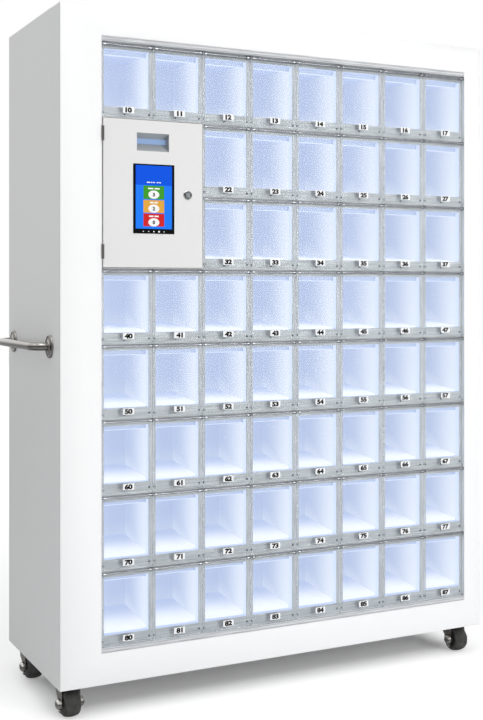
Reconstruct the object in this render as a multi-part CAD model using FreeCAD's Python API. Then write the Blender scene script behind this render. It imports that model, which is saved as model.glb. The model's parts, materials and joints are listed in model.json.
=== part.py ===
import FreeCAD, Part
import os
from math import atan2, cos, hypot, radians, sin

# Supply cabinet on swivel casters: a painted steel case around a grid of lit compartments.
# Each compartment has a clear flip-up door hung on a rod along its row.
# A steel control door with a touch screen fills four cells of the grid.
# Millimetres. +X is to the right seen from the front, the front faces -Y, +Z is up.
# The origin is on the floor, under the middle of the whole cabinet.

Vector = FreeCAD.Vector

# ---- grid of compartments -------------------------------------------------------------
columns = 8
rows = 8
cell_width = 152.4
cell_height = 207.0
left_margin = 118.0            # case side to grid
right_margin = 62.8            # grid to case side
header_height = 79.0           # white band above the grid
footer_height = 85.0           # white band below the grid
trim_height = 14.0             # strip between a white band and the nearest doors
bay_row = 1                    # first row of the control door, counted from the top
bay_rows = 2
bay_columns = 2

# ---- sheet metal case -----------------------------------------------------------------
sheet = 1.5
front_return = 80.0            # how far the front frame wraps round the sides
case_seam = 0.5                # joint between the front frame and the panels behind it
opening_lip = 18.0             # inward lip round the grid opening
rear_flange = 20.0             # side panel flange that carries the back panel
pan_sheet = 3.0
pan_flange = 25.0
service_depth = 287.0          # wiring space behind the compartments

# ---- grid bars ------------------------------------------------------------------------
rail_above = 30.0              # rail showing above a row line
rail_below = 19.0              # rail showing below a row line
mullion_width = 22.0
bar_depth = 20.0
trim_setback = 1.0

# ---- compartments ---------------------------------------------------------------------
compartment_depth = 184.5      # bars to back sheet
divider = 3.0
ceiling = 2.0
shelf = 2.5
shelf_rise = 18.0              # the floors slope up towards the back
back_sheet = 3.0
led_depth = 8.0
led_height = 14.0

# ---- flip-up doors --------------------------------------------------------------------
door_seam = 3.0
door_depth = 12.0
pane = 3.0
rim = 3.0
bottom_lip = 5.0
pull_proud = 3.5               # finger pull in front of the door's rim
pull_front_width = 34.0
pull_front_height = 17.6
pull_base_width = 74.0
pull_base_height = 24.0
pull_front_rise = 6.0          # front of the pull above the foot of its base
hinge_rod_radius = 2.0
ear_gap = 0.5
ear_radius = 4.5
running_clearance = 0.05
bumper_radius = 3.0
bumper_height = 1.2
bumper_inset = 7.0
seat_clearance = 0.3

# ---- magnetic latches -----------------------------------------------------------------
latch_width = 30.0
latch_depth = 22.0
latch_height = 16.0
latch_pin_radius = 2.0
latch_pin_clearance = 0.5
latch_rise = 12.0              # latch above the row line
latch_offset = 6.0             # latch left of the middle of its door

# ---- control bay and door -------------------------------------------------------------
bay_depth = 160.0
bay_setback = 1.0
control_gap = 1.5
control_depth = 15.0
leaf = 1.0
leaf_depth = 18.0
leaf_gap = 0.5
knuckle_radius = 3.0
knuckle_clearance = 0.2
hinge_pin_radius = 1.2
hinge_height = 40.0
hinge_inset = 23.0             # control door's edge to the near end of a hinge

scanner_width = 96.0
scanner_height = 50.0
scanner_left = 98.0            # from the control door's left edge
scanner_top = 35.0             # from the control door's top edge
scanner_wall = 2.5
scanner_depth = 24.0
scanner_window_low = 22.0      # foot of the window above the foot of the pocket
scanner_window_height = 15.0
scanner_glass = 2.0

bezel_width = 123.0
bezel_height = 193.0
bezel_left = 87.0
bezel_top = 121.0
bezel_proud = 1.2
display_width = 108.6
display_height = 175.5
display_drop = 4.0             # top edge of the bezel to the display
screen_border = 3.0            # screen module hidden under the bezel
screen_depth = 12.0

lock_left = 251.0
lock_drop = 203.0
lock_flange_radius = 13.0
lock_flange = 3.0
lock_body_radius = 9.0
plug_radius = 6.0
plug_proud = 0.6
keyway_width = 1.6
keyway_length = 7.0
keyway_depth = 3.0
cam_length = 42.0
cam_width = 13.0
cam_thickness = 2.0
strike_width = 11.0
strike_height = 34.0
strike_gap = 1.0

# ---- electronics ----------------------------------------------------------------------
board_width = 200.0
board_height = 150.0
board_thickness = 1.6
board_standoff = 8.0
standoff_radius = 4.0
chip_size = 26.0
chip_height = 4.0
supply_width = 215.0
supply_depth = 115.0
supply_height = 50.0
supply_from_back = 40.0
inlet_width = 48.0
inlet_height = 28.0
inlet_depth = 22.0
inlet_flange = 4.0
inlet_plate = 2.0
inlet_above_pan = 60.0
inlet_from_middle = 480.0
socket_width = 24.5
socket_height = 16.5
socket_depth = 16.0
blade_width = 2.0
blade_height = 4.0
blade_pitch = 7.0

# ---- push handles ---------------------------------------------------------------------
handle_height = 920.0          # above the foot of the case
handle_front = 90.0            # case front to the front flange
handle_length = 360.0          # flange to flange
handle_standoff = 45.0
handle_radius = 11.0
handle_bend = 32.0
flange_radius = 32.5
flange_thickness = 5.0
flange_rim = 1.5

# ---- casters --------------------------------------------------------------------------
wheel_radius = 37.5
wheel_width = 46.0
wheel_edge = 8.0
wheel_dish = 3.0
wheel_dish_radius = 24.0
axle_radius = 5.0
axle_head_radius = 15.0
axle_head = 12.0
fork_gap = 2.5
fork_leg = 2.5
fork_boss = 14.0
crown = 5.0
crown_over_wheel = 3.2
crown_half_depth = 20.0
race_radius = 20.0
race = 5.5
race_clearance = 0.3
plate = 4.0
plate_side = 70.0
plate_bolt_pitch = 52.0
kingpin_radius = 5.0
kingpin_head_radius = 8.0
kingpin_head = 2.5
caster_trail = 14.0
caster_side_inset = 48.0
caster_end_inset = 78.0
guard_bolt_radius = 4.0
guard_bolt_gap = 1.0           # between the axle's head and a guard bolt
guard_bolt_head = 2.5
brake_behind = 20.0            # brake pivot behind the swivel axis
brake_above = 30.5             # brake pivot above the wheel's axle
brake_pin_radius = 2.5
brake_hub_radius = 5.5
brake_side_gap = 3.5           # between the pedal and each leg of the fork
brake_travel = 30.0            # degrees from released to pressed
brake_nose_radius = 2.5
pedal_length = 26.0
pedal_thickness = 4.0
pedal_slope = 38.0             # degrees below level when released
pedal_tip_radius = 4.5

# ---- fasteners ------------------------------------------------------------------------
screw_radius = 2.0
screw_head_radius = 4.0
screw_head = 2.0
screw_reach = 5.0
screw_clearance = 0.1
back_screws_per_side = 6
back_screw_inset = 60.0
bolt_radius = 4.0
bolt_head_radius = 6.5
bolt_head = 4.5
nut_height = 6.5
lock_nut_height = 4.0
lock_nut_radius = 13.0

# ---- sizes and places that follow -----------------------------------------------------
cabinet_width = left_margin + columns * cell_width + right_margin
seat_gap = bumper_height + seat_clearance
bar_front = door_depth + seat_gap
bar_back = bar_front + bar_depth
back_front = bar_back + compartment_depth
cabinet_depth = back_front + back_sheet + service_depth

knuckle_out = knuckle_radius + knuckle_clearance
lock_body_depth = control_depth + strike_gap + sheet
front_reach = max(pull_proud, knuckle_out + knuckle_radius, lock_flange + plug_proud)
rear_reach = max(inlet_plate, screw_head)
front_y = -(cabinet_depth + rear_reach - front_reach) / 2.0
back_y = front_y + cabinet_depth

fork_inner = wheel_width / 2.0 + fork_gap
fork_outer = fork_inner + fork_leg
guard_bolt_drop = axle_head_radius + guard_bolt_gap + guard_bolt_radius
brake_width = 2.0 * (fork_inner - brake_side_gap)
crown_bottom = 2.0 * wheel_radius + crown_over_wheel
crown_top = crown_bottom + crown
race_bottom = crown_top + race_clearance
plate_bottom = race_bottom + race
case_bottom = plate_bottom + plate

opening_bottom = case_bottom + footer_height
grid_bottom = opening_bottom + trim_height
grid_top = grid_bottom + rows * cell_height
opening_top = grid_top + trim_height
case_top = opening_top + header_height

case_left = -cabinet_width / 2.0
case_right = cabinet_width / 2.0
grid_left = case_left + left_margin
grid_right = case_right - right_margin
bay_right = grid_left + bay_columns * cell_width

door_width = cell_width - door_seam
barrel_radius = door_depth / 2.0


def depth(distance):
    """Y of a plane this far behind the front of the case."""
    return front_y + distance


def row_edge(row):
    """Z of the line above a row, counted from the top."""
    return grid_top - row * cell_height


def column_edge(column):
    """X of the line left of a column."""
    return grid_left + column * cell_width


bay_top = row_edge(bay_row)
bay_bottom = row_edge(bay_row + bay_rows)


def in_bay(row, column):
    """Whether the control door covers this cell."""
    return column < bay_columns and bay_row <= row < bay_row + bay_rows


cells = [(row, column) for row in range(rows) for column in range(columns) if not in_bay(row, column)]


# ---- shapes ---------------------------------------------------------------------------
def block(x0, x1, y0, y1, z0, z1):
    return Part.makeBox(x1 - x0, y1 - y0, z1 - z0, Vector(x0, y0, z0))


def rod_x(radius, x0, x1, y, z):
    return Part.makeCylinder(radius, x1 - x0, Vector(x0, y, z), Vector(1, 0, 0))


def rod_y(radius, x, y0, y1, z):
    return Part.makeCylinder(radius, y1 - y0, Vector(x, y0, z), Vector(0, 1, 0))


def rod_z(radius, x, y, z0, z1):
    return Part.makeCylinder(radius, z1 - z0, Vector(x, y, z0), Vector(0, 0, 1))


def prism_x(outline, x0, x1):
    """A straight solid along X from a list of (y, z) corners."""
    corners = [Vector(x0, y, z) for y, z in outline]
    face = Part.Face(Part.makePolygon(corners + corners[:1]))
    return face.extrude(Vector(x1 - x0, 0, 0))


def joined(first, *others):
    return first.fuse(list(others)).removeSplitter()


def save(node, solids):
    Part.makeCompound(solids).exportStep("parts/" + node + ".step")
    print(node, len(solids))


# ---- case -----------------------------------------------------------------------------
def stile(outer, inner):
    """An upright of the front frame: face, wrap round the side, and lip at the opening."""
    inward = 1 if inner > outer else -1
    face = block(min(outer, inner), max(outer, inner), front_y, depth(sheet), opening_bottom, opening_top)
    side = sorted([outer, outer + inward * sheet])
    wrap = block(side[0], side[1], front_y, depth(front_return), opening_bottom, opening_top)
    edge = sorted([inner, inner - inward * sheet])
    lip = block(edge[0], edge[1], front_y, depth(opening_lip), opening_bottom, opening_top)
    return joined(face, wrap, lip)


def band(z_low, z_high, lip_z, cap_z=None):
    """The header or the footer of the front frame, with its end wraps and its lip."""
    face = block(case_left, case_right, front_y, depth(sheet), z_low, z_high)
    left = block(case_left, case_left + sheet, front_y, depth(front_return), z_low, z_high)
    right = block(case_right - sheet, case_right, front_y, depth(front_return), z_low, z_high)
    lip = block(grid_left, grid_right, front_y, depth(opening_lip), lip_z, lip_z + sheet)
    pieces = [left, right, lip]
    if cap_z is not None:
        pieces.append(block(case_left, case_right, front_y, depth(front_return), cap_z, cap_z + sheet))
    return joined(face, *pieces)


def front_frame():
    return [stile(case_left, grid_left),
            stile(case_right, grid_right),
            band(opening_top, case_top, opening_top, case_top - sheet),
            band(case_bottom, opening_bottom, opening_bottom - sheet)]


def back_screw_heights():
    low = case_bottom + pan_sheet + pan_flange + back_screw_inset
    high = case_top - back_screw_inset
    step = (high - low) / (back_screws_per_side - 1)
    return [low + step * index for index in range(back_screws_per_side)]


flange_screw_x = cabinet_width / 2.0 - sheet - rear_flange / 2.0
back_screw_places = [(side * flange_screw_x, z) for side in (-1, 1) for z in back_screw_heights()]


def drilled(shape, places, radius, y0, y1):
    """The shape with a hole along Y at each (x, z)."""
    return shape.cut([rod_y(radius, x, y0, y1, z) for x, z in places])


def side_panel(side):
    """A flat side with a flange turned in along its rear edge."""
    outer = side * cabinet_width / 2.0
    skin = sorted([outer, outer - side * sheet])
    turned = sorted([outer, outer - side * (sheet + rear_flange)])
    panel = block(skin[0], skin[1], depth(front_return + case_seam), back_y, case_bottom, case_top)
    flange = block(turned[0], turned[1], back_y - 2 * sheet, back_y - sheet,
                   case_bottom + pan_sheet + pan_flange, case_top - sheet)
    places = [place for place in back_screw_places if place[0] * side > 0]
    return drilled(joined(panel, flange), places, screw_radius + screw_clearance,
                   back_y - 3 * sheet, back_y)


def top_panel():
    return block(case_left + sheet, case_right - sheet, depth(front_return + case_seam), back_y,
                 case_top - sheet, case_top)


caster_places = {
    "front_left": (case_left + caster_side_inset, depth(caster_end_inset)),
    "front_right": (case_right - caster_side_inset, depth(caster_end_inset)),
    "rear_left": (case_left + caster_side_inset, back_y - caster_end_inset),
    "rear_right": (case_right - caster_side_inset, back_y - caster_end_inset),
}


braked = ("rear_left", "rear_right")


def bolt_places(x, y):
    half = plate_bolt_pitch / 2.0
    return [(x + i * half, y + j * half) for i in (-1, 1) for j in (-1, 1)]


def base_pan():
    """The floor of the case: a tray with its edges turned up, drilled for the casters."""
    left = case_left + sheet
    right = case_right - sheet
    front = depth(sheet)
    rear = back_y - sheet
    tray = block(left, right, front, rear, case_bottom, case_bottom + pan_sheet + pan_flange)
    hollow = block(left + sheet, right - sheet, front + sheet, rear - sheet,
                   case_bottom + pan_sheet, case_bottom + pan_sheet + pan_flange)
    holes = [rod_z(bolt_radius + screw_clearance, hx, hy, case_bottom, case_bottom + pan_sheet)
             for x, y in caster_places.values() for hx, hy in bolt_places(x, y)]
    return tray.cut([hollow] + holes)


inlet_x = inlet_from_middle
inlet_z = case_bottom + pan_sheet + inlet_above_pan


def back_panel():
    panel = block(case_left + sheet, case_right - sheet, back_y - sheet, back_y,
                  case_bottom, case_top - sheet)
    cutout = block(inlet_x - inlet_width / 2.0, inlet_x + inlet_width / 2.0, back_y - sheet, back_y,
                   inlet_z - inlet_height / 2.0, inlet_z + inlet_height / 2.0)
    return drilled(panel, back_screw_places, screw_radius + screw_clearance,
                   back_y - sheet, back_y).cut(cutout)


# ---- grid bars ------------------------------------------------------------------------
def latch_place(row, column):
    x = column_edge(column) + cell_width / 2.0 - latch_offset
    return x, row_edge(row + 1) + latch_rise


def rail_span(row):
    """The stretches of rail along a row line, as (x0, x1, z0, z1)."""
    line = row_edge(row)
    low = line - (rail_below if row < rows else trim_height)
    high = line + (rail_above if row > 0 else trim_height)
    spans = []
    if row == bay_row:
        spans.append((grid_left, bay_right, line, high))
    if row == bay_row + bay_rows:
        spans.append((grid_left, bay_right, low, line))
    start = bay_right if bay_row <= row <= bay_row + bay_rows else grid_left
    spans.append((start, grid_right, low, high))
    return spans


def grid_rails():
    pin_hole = latch_pin_radius + latch_pin_clearance
    holes = [latch_place(row, column) for row, column in cells]
    bars = []
    for row in range(rows + 1):
        for x0, x1, z0, z1 in rail_span(row):
            inside = [(x, z) for x, z in holes if x0 < x < x1 and z0 < z < z1]
            bar = block(x0, x1, depth(bar_front), depth(bar_back), z0, z1)
            if inside:
                bar = drilled(bar, inside, pin_hole, depth(bar_front), depth(bar_back))
            bars.append(bar)
    return bars


def trim_bars():
    """The strips that fill the opening above the first row and below the last."""
    return [block(grid_left, grid_right, depth(trim_setback), depth(bar_front), z, z + trim_height)
            for z in (opening_bottom, grid_top)]


def grid_mullions():
    bars = []
    for column in range(columns + 1):
        edge = column_edge(column)
        for row in range(rows):
            if in_bay(row, column):
                continue
            beside_bay = column == bay_columns and in_bay(row, column - 1)
            left = edge if column == 0 or beside_bay else edge - mullion_width / 2.0
            right = edge if column == columns else edge + mullion_width / 2.0
            bars.append(block(left, right, depth(bar_front), depth(bar_back),
                              row_edge(row + 1) + rail_above, row_edge(row) - rail_below))
    return bars


# ---- compartments ---------------------------------------------------------------------
def cell_inside(column):
    return column_edge(column) + divider / 2.0, column_edge(column + 1) - divider / 2.0


def compartment_dividers():
    upright = []
    for column in range(columns + 1):
        x = column_edge(column)
        spans = [(row_edge(rows), row_edge(0))]
        if column < bay_columns:
            spans = [(row_edge(rows), bay_bottom), (bay_top, row_edge(0))]
        for z0, z1 in spans:
            upright.append(block(x - divider / 2.0, x + divider / 2.0,
                                 depth(bar_back), depth(back_front), z0, z1))
    return upright


def compartment_shelves():
    """One sloping floor for each compartment, level with the top of its rail."""
    shelves = []
    for row, column in cells:
        x0, x1 = cell_inside(column)
        top = row_edge(row + 1) + rail_above
        outline = [(depth(bar_back), top - shelf), (depth(back_front), top + shelf_rise - shelf),
                   (depth(back_front), top + shelf_rise), (depth(bar_back), top)]
        shelves.append(prism_x(outline, x0, x1))
    return shelves


def compartment_ceilings():
    panels = []
    for row, column in cells:
        x0, x1 = cell_inside(column)
        z = row_edge(row) - rail_below
        panels.append(block(x0, x1, depth(bar_back), depth(back_front), z, z + ceiling))
    return panels


def compartment_back():
    return block(grid_left - divider / 2.0, grid_right + divider / 2.0,
                 depth(back_front), depth(back_front + back_sheet), row_edge(rows), row_edge(0))


def led_strips():
    """A lamp under the front of each ceiling, just behind the rail."""
    strips = []
    for row, column in cells:
        x0, x1 = cell_inside(column)
        z = row_edge(row) - rail_below
        strips.append(block(x0, x1, depth(bar_back), depth(bar_back + led_depth), z - led_height, z))
    return strips


def door_latches():
    """A magnetic latch behind each rail; its pin reaches through to the door."""
    latches = []
    for row, column in cells:
        x, z = latch_place(row, column)
        body = block(x - latch_width / 2.0, x + latch_width / 2.0,
                     depth(bar_back), depth(bar_back + latch_depth),
                     z - latch_height / 2.0, z + latch_height / 2.0)
        pin = rod_y(latch_pin_radius, x, depth(door_depth + seat_clearance),
                    depth(bar_back + latch_depth / 2.0), z)
        latches.append(joined(body, pin))
    return latches


def door_bumpers():
    """Two rubber stops behind the foot of each door."""
    stops = []
    for row, column in cells:
        z = row_edge(row + 1) + door_seam / 2.0 + bottom_lip + bumper_inset
        for x in (column_edge(column) + door_seam / 2.0 + bumper_inset,
                  column_edge(column + 1) - door_seam / 2.0 - bumper_inset):
            stops.append(rod_y(bumper_radius, x, depth(bar_front - bumper_height), depth(bar_front), z))
    return stops


# ---- flip-up doors --------------------------------------------------------------------
def door_axis(row):
    """Y and Z of the rod that a row of doors hangs on."""
    return depth(barrel_radius), row_edge(row) - door_seam / 2.0 - barrel_radius


def hinge_rods():
    rods = []
    for row in range(rows):
        y, z = door_axis(row)
        start = bay_right if in_bay(row, 0) else grid_left
        rods.append(rod_x(hinge_rod_radius, start, grid_right, y, z))
    return rods


def hinge_ears():
    """The lugs between neighbouring doors that hold the rods."""
    ears = []
    for row in range(rows):
        y, z = door_axis(row)
        for column in range(columns + 1):
            if in_bay(row, column):
                continue
            half = door_seam / 2.0 - ear_gap
            edge = column_edge(column)
            left = edge if column == 0 else edge - half
            right = edge if column == columns else edge + half
            lug = joined(rod_x(ear_radius, left, right, y, z),
                         block(left, right, y, depth(bar_front), z - ear_radius, z + ear_radius))
            ears.append(lug.cut(rod_x(hinge_rod_radius + running_clearance, left, right, y, z)))
    return ears


def finger_pull(x, z):
    """A tapering block on the door's foot, with a flat front for the number plate."""
    front = -pull_proud
    base = door_depth - pane
    low = z + pull_front_rise
    wedge = Part.makeWedge(x - pull_front_width / 2.0, depth(front), low,
                           z, x - pull_base_width / 2.0,
                           x + pull_front_width / 2.0, depth(base), low + pull_front_height,
                           z + pull_base_height, x + pull_base_width / 2.0)
    return Part.Solid(wedge) if wedge.ShapeType != "Solid" else wedge


def door(row, column):
    """A clear moulded tray: pane, rims, finger pull, and a barrel bored for the rod."""
    left = column_edge(column) + door_seam / 2.0
    right = left + door_width
    foot = row_edge(row + 1) + door_seam / 2.0
    y, z = door_axis(row)
    sheet_pane = block(left, right, depth(door_depth - pane), depth(door_depth), foot, z)
    rims = [block(left, left + rim, front_y, depth(door_depth), foot, z),
            block(right - rim, right, front_y, depth(door_depth), foot, z),
            block(left, right, front_y, depth(door_depth), foot, foot + bottom_lip)]
    barrel = rod_x(barrel_radius, left, right, y, z)
    pull = finger_pull((left + right) / 2.0, foot + bottom_lip)
    tray = joined(sheet_pane, *rims, barrel, pull)
    return tray.cut(rod_x(hinge_rod_radius + running_clearance, left, right, y, z))


def save_doors():
    """The first door of a row by itself, and the others of that row in one file."""
    master = door(0, 0)

    def placed(row, column):
        return master.translated(Vector(column * cell_width, 0, -row * cell_height))

    for row in range(rows):
        present = [column for column in range(columns) if not in_bay(row, column)]
        number = 10 * (row + 1)
        if present[0] == 0:
            save("door_%d" % number, [placed(row, 0)])
        others = [column for column in present if column > 0]
        name = "doors_%d_to_%d" % (number + others[0], number + others[-1])
        save(name, [placed(row, column) for column in others])


# ---- control bay ----------------------------------------------------------------------
bay_box_left = grid_left
bay_box_right = bay_right - divider / 2.0
control_left = bay_box_left + sheet + leaf + leaf_gap + leaf
control_right = bay_box_right - sheet - control_gap
control_bottom = bay_bottom + sheet + control_gap
control_top = bay_top - sheet - control_gap
hinge_x = bay_box_left + sheet + leaf + leaf_gap / 2.0
hinge_y = front_y - knuckle_out
lock_x = control_left + lock_left
lock_z = control_top - lock_drop
hinge_feet = (control_bottom + hinge_inset, control_top - hinge_inset - hinge_height)


def control_bay_box():
    """An open-fronted steel box with a bent tab that the lock's cam turns behind."""
    outer = block(bay_box_left, bay_box_right, depth(bay_setback), depth(bay_depth), bay_bottom, bay_top)
    inner = block(bay_box_left + sheet, bay_box_right - sheet, depth(bay_setback), depth(bay_depth - sheet),
                  bay_bottom + sheet, bay_top - sheet)
    strike_front = control_depth + strike_gap
    strike = block(bay_box_right - sheet - strike_width, bay_box_right - sheet / 2.0,
                   depth(strike_front), depth(strike_front + sheet),
                   lock_z - strike_height / 2.0, lock_z + strike_height / 2.0)
    return joined(outer.cut(inner), strike)


def hinge_leaf(plate_x0, plate_x1, foot, first, count):
    """A flat leaf with some of its hinge's three knuckles."""
    knuckle = hinge_height / 3.0
    gap = knuckle_clearance
    clear_y = hinge_y + knuckle_radius + 1.5 * gap
    solid = block(plate_x0, plate_x1, clear_y, depth(leaf_depth), foot, foot + hinge_height)
    pieces = []
    for index in range(first, 3, 2)[:count]:
        z0 = foot + index * knuckle + gap / 2.0
        z1 = foot + (index + 1) * knuckle - gap / 2.0
        pieces.append(rod_z(knuckle_radius, hinge_x, hinge_y, z0, z1))
        pieces.append(block(plate_x0, plate_x1, hinge_y, depth(leaf_depth), z0, z1))
    bore = rod_z(hinge_pin_radius + running_clearance, hinge_x, hinge_y, foot, foot + hinge_height)
    return joined(solid, *pieces).cut(bore)


def control_hinges():
    """The two fixed leaves on the bay's wall, and their pins."""
    wall = bay_box_left + sheet
    solids = []
    for foot in hinge_feet:
        solids.append(hinge_leaf(wall, wall + leaf, foot, 0, 2))
        solids.append(rod_z(hinge_pin_radius, hinge_x, hinge_y, foot, foot + hinge_height))
    return solids


def control_hinge_leaves():
    return [hinge_leaf(control_left - leaf, control_left, foot, 1, 1) for foot in hinge_feet]


def scanner_box():
    """Left, right, foot and top of the opening for the scanner."""
    left = control_left + scanner_left
    top = control_top - scanner_top
    return left, left + scanner_width, top - scanner_height, top


def bezel_box():
    left = control_left + bezel_left
    top = control_top - bezel_top
    return left, left + bezel_width, top - bezel_height, top


def display_box():
    left, right, foot, top = bezel_box()
    side = (bezel_width - display_width) / 2.0
    return left + side, right - side, top - display_drop - display_height, top - display_drop


def control_door():
    """A folded steel pan, cut for the scanner, the screen and the lock."""
    outer = block(control_left, control_right, front_y, depth(control_depth), control_bottom, control_top)
    inner = block(control_left + sheet, control_right - sheet, depth(sheet), depth(control_depth),
                  control_bottom + sheet, control_top - sheet)
    scan = scanner_box()
    shown = display_box()
    scanner_cut = block(scan[0], scan[1], front_y, depth(sheet), scan[2], scan[3])
    screen_cut = block(shown[0] - screen_border, shown[1] + screen_border, front_y, depth(sheet),
                       shown[2] - screen_border, shown[3] + screen_border)
    lock_cut = rod_y(lock_body_radius + screw_clearance, lock_x, front_y, depth(sheet), lock_z)
    return outer.cut([inner, scanner_cut, screen_cut, lock_cut])


def scanner_pocket():
    """A hood behind the scanner opening; its roof and floor close in on the window."""
    left, right, foot, top = scanner_box()
    front = depth(sheet)
    back = depth(sheet + scanner_depth)
    window_foot = foot + scanner_window_low
    window_top = window_foot + scanner_window_height
    hood = block(left - scanner_wall, right + scanner_wall, front, back + scanner_glass,
                 foot - scanner_wall, top + scanner_wall)
    recess = prism_x([(front, foot), (back, window_foot), (back, window_top), (front, top)], left, right)
    window = block(left, right, back, back + scanner_glass, window_foot, window_top)
    return hood.cut([recess, window])


def scanner_window():
    left, right, foot, top = scanner_box()
    back = depth(sheet + scanner_depth)
    window_foot = foot + scanner_window_low
    return block(left, right, back, back + scanner_glass,
                 window_foot, window_foot + scanner_window_height)


def screen_bezel():
    left, right, foot, top = bezel_box()
    shown = display_box()
    frame = block(left, right, front_y - bezel_proud, front_y, foot, top)
    return frame.cut(block(shown[0], shown[1], front_y - bezel_proud, front_y, shown[2], shown[3]))


def screen_panel():
    shown = display_box()
    return block(shown[0] - screen_border, shown[1] + screen_border, front_y, depth(screen_depth),
                 shown[2] - screen_border, shown[3] + screen_border)


plug_back = depth(lock_body_depth + cam_thickness)


def lock_housing():
    flange = rod_y(lock_flange_radius, lock_x, front_y - lock_flange, front_y, lock_z)
    softened = flange.makeFillet(lock_flange / 2.0, [edge for edge in flange.Edges
                                                     if edge.BoundBox.YMax < front_y - lock_flange / 2.0])
    barrel = rod_y(lock_body_radius, lock_x, front_y - sheet, depth(lock_body_depth), lock_z)
    bore = rod_y(plug_radius + running_clearance, lock_x, front_y - lock_flange - sheet,
                 depth(lock_body_depth), lock_z)
    return joined(softened, barrel).cut(bore)


def lock_plug():
    """The turning core, with its keyway, and the cam on its rear end, hanging down."""
    nose = front_y - lock_flange - plug_proud
    core = rod_y(plug_radius, lock_x, nose, plug_back, lock_z)
    keyway = block(lock_x - keyway_width / 2.0, lock_x + keyway_width / 2.0, nose, nose + keyway_depth,
                   lock_z - keyway_length / 2.0, lock_z + keyway_length / 2.0)
    cam_front = depth(lock_body_depth + seat_clearance)
    half = cam_width / 2.0
    end = lock_z - cam_length + half
    arm = block(lock_x - half, lock_x + half, cam_front, cam_front + cam_thickness, end, lock_z)
    tip = rod_y(half, lock_x, cam_front, cam_front + cam_thickness, end)
    root = rod_y(half, lock_x, cam_front, cam_front + cam_thickness, lock_z)
    return joined(core.cut(keyway), arm, tip, root)


# ---- electronics ----------------------------------------------------------------------
def controller_board():
    """A circuit board on four stand-offs against the back of the control bay."""
    x = (bay_box_left + bay_box_right) / 2.0
    z = (bay_bottom + bay_top) / 2.0
    wall = depth(bay_depth - sheet)
    back = wall - board_standoff
    front = back - board_thickness
    left = x - board_width / 2.0
    foot = z - board_height / 2.0
    pieces = []
    for i in (-1, 1):
        for j in (-1, 1):
            pieces.append(rod_y(standoff_radius, x + i * (board_width / 2.0 - 2 * standoff_radius), back, wall,
                                z + j * (board_height / 2.0 - 2 * standoff_radius)))
        pieces.append(block(x + i * chip_size - chip_size / 2.0, x + i * chip_size + chip_size / 2.0,
                            front - chip_height, front, z - chip_size / 2.0, z + chip_size / 2.0))
    board = block(left, left + board_width, front, back, foot, foot + board_height)
    return joined(board, *pieces)


def power_supply():
    y = back_y - sheet - supply_from_back - supply_depth
    z = case_bottom + pan_sheet
    x = inlet_x - supply_width / 2.0
    return block(x - supply_width / 2.0, x + supply_width / 2.0, y, y + supply_depth, z, z + supply_height)


def power_inlet():
    """A three-blade mains inlet, let into the back panel."""
    half_x = inlet_width / 2.0
    half_z = inlet_height / 2.0
    face = back_y + inlet_plate
    body = block(inlet_x - half_x, inlet_x + half_x, back_y - inlet_depth, back_y,
                 inlet_z - half_z, inlet_z + half_z)
    cover = block(inlet_x - half_x - inlet_flange, inlet_x + half_x + inlet_flange, back_y, face,
                  inlet_z - half_z - inlet_flange, inlet_z + half_z + inlet_flange)
    socket = block(inlet_x - socket_width / 2.0, inlet_x + socket_width / 2.0, face - socket_depth, face,
                   inlet_z - socket_height / 2.0, inlet_z + socket_height / 2.0)
    shell = joined(body, cover).cut(socket)
    blades = [block(inlet_x + i * blade_pitch - blade_width / 2.0, inlet_x + i * blade_pitch + blade_width / 2.0,
                    face - socket_depth - sheet, face - sheet,
                    inlet_z - blade_height / 2.0, inlet_z + blade_height / 2.0) for i in (-1, 0, 1)]
    return joined(shell, *blades)


# ---- push handles ---------------------------------------------------------------------
handle_z = case_bottom + handle_height
handle_ends = (depth(handle_front), depth(handle_front + handle_length))


def handle_bar(side):
    """A round bar that leaves one flange, turns along the cabinet and returns to the other."""
    wall = side * cabinet_width / 2.0
    seat = wall + side * flange_thickness
    out = wall + side * handle_standoff
    near, far = handle_ends
    bend = handle_bend
    turn = bend * (1.0 - cos(radians(45.0)))
    start = Vector(seat, near, handle_z)
    corner = [Vector(out - side * bend, near, handle_z), Vector(out - side * turn, near + turn, handle_z),
              Vector(out, near + bend, handle_z), Vector(out, far - bend, handle_z),
              Vector(out - side * turn, far - turn, handle_z), Vector(out - side * bend, far, handle_z)]
    end = Vector(seat, far, handle_z)
    path = Part.Wire([Part.LineSegment(start, corner[0]).toShape(),
                      Part.Arc(corner[0], corner[1], corner[2]).toShape(),
                      Part.LineSegment(corner[2], corner[3]).toShape(),
                      Part.Arc(corner[3], corner[4], corner[5]).toShape(),
                      Part.LineSegment(corner[5], end).toShape()])
    section = Part.Wire(Part.makeCircle(handle_radius, start, Vector(side, 0, 0)))
    return path.makePipeShell([section], True, False)


def handle_flanges():
    """Four round cover plates between the bars and the side panels."""
    discs = []
    for side in (-1, 1):
        wall = side * cabinet_width / 2.0
        for y in handle_ends:
            x0, x1 = sorted([wall, wall + side * flange_thickness])
            disc = rod_x(flange_radius, x0, x1, y, handle_z)
            outer = [edge for edge in disc.Edges
                     if edge.BoundBox.XLength < sheet and abs(edge.BoundBox.Center.x) > abs(wall) + sheet]
            discs.append(disc.makeFillet(flange_rim, outer))
    return discs


# ---- casters --------------------------------------------------------------------------
def caster_plate(x, y):
    """The bolted plate with the upper race and the kingpin."""
    half = plate_side / 2.0
    top = block(x - half, x + half, y - half, y + half, plate_bottom, case_bottom)
    holes = [rod_z(bolt_radius + screw_clearance, hx, hy, plate_bottom, case_bottom)
             for hx, hy in bolt_places(x, y)]
    race_ring = rod_z(race_radius, x, y, race_bottom, plate_bottom)
    kingpin = rod_z(kingpin_radius, x, y, crown_bottom - race_clearance - kingpin_head, race_bottom)
    head = rod_z(kingpin_head_radius, x, y, crown_bottom - race_clearance - kingpin_head,
                 crown_bottom - race_clearance)
    return joined(top.cut(holes), race_ring, kingpin, head)


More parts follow.
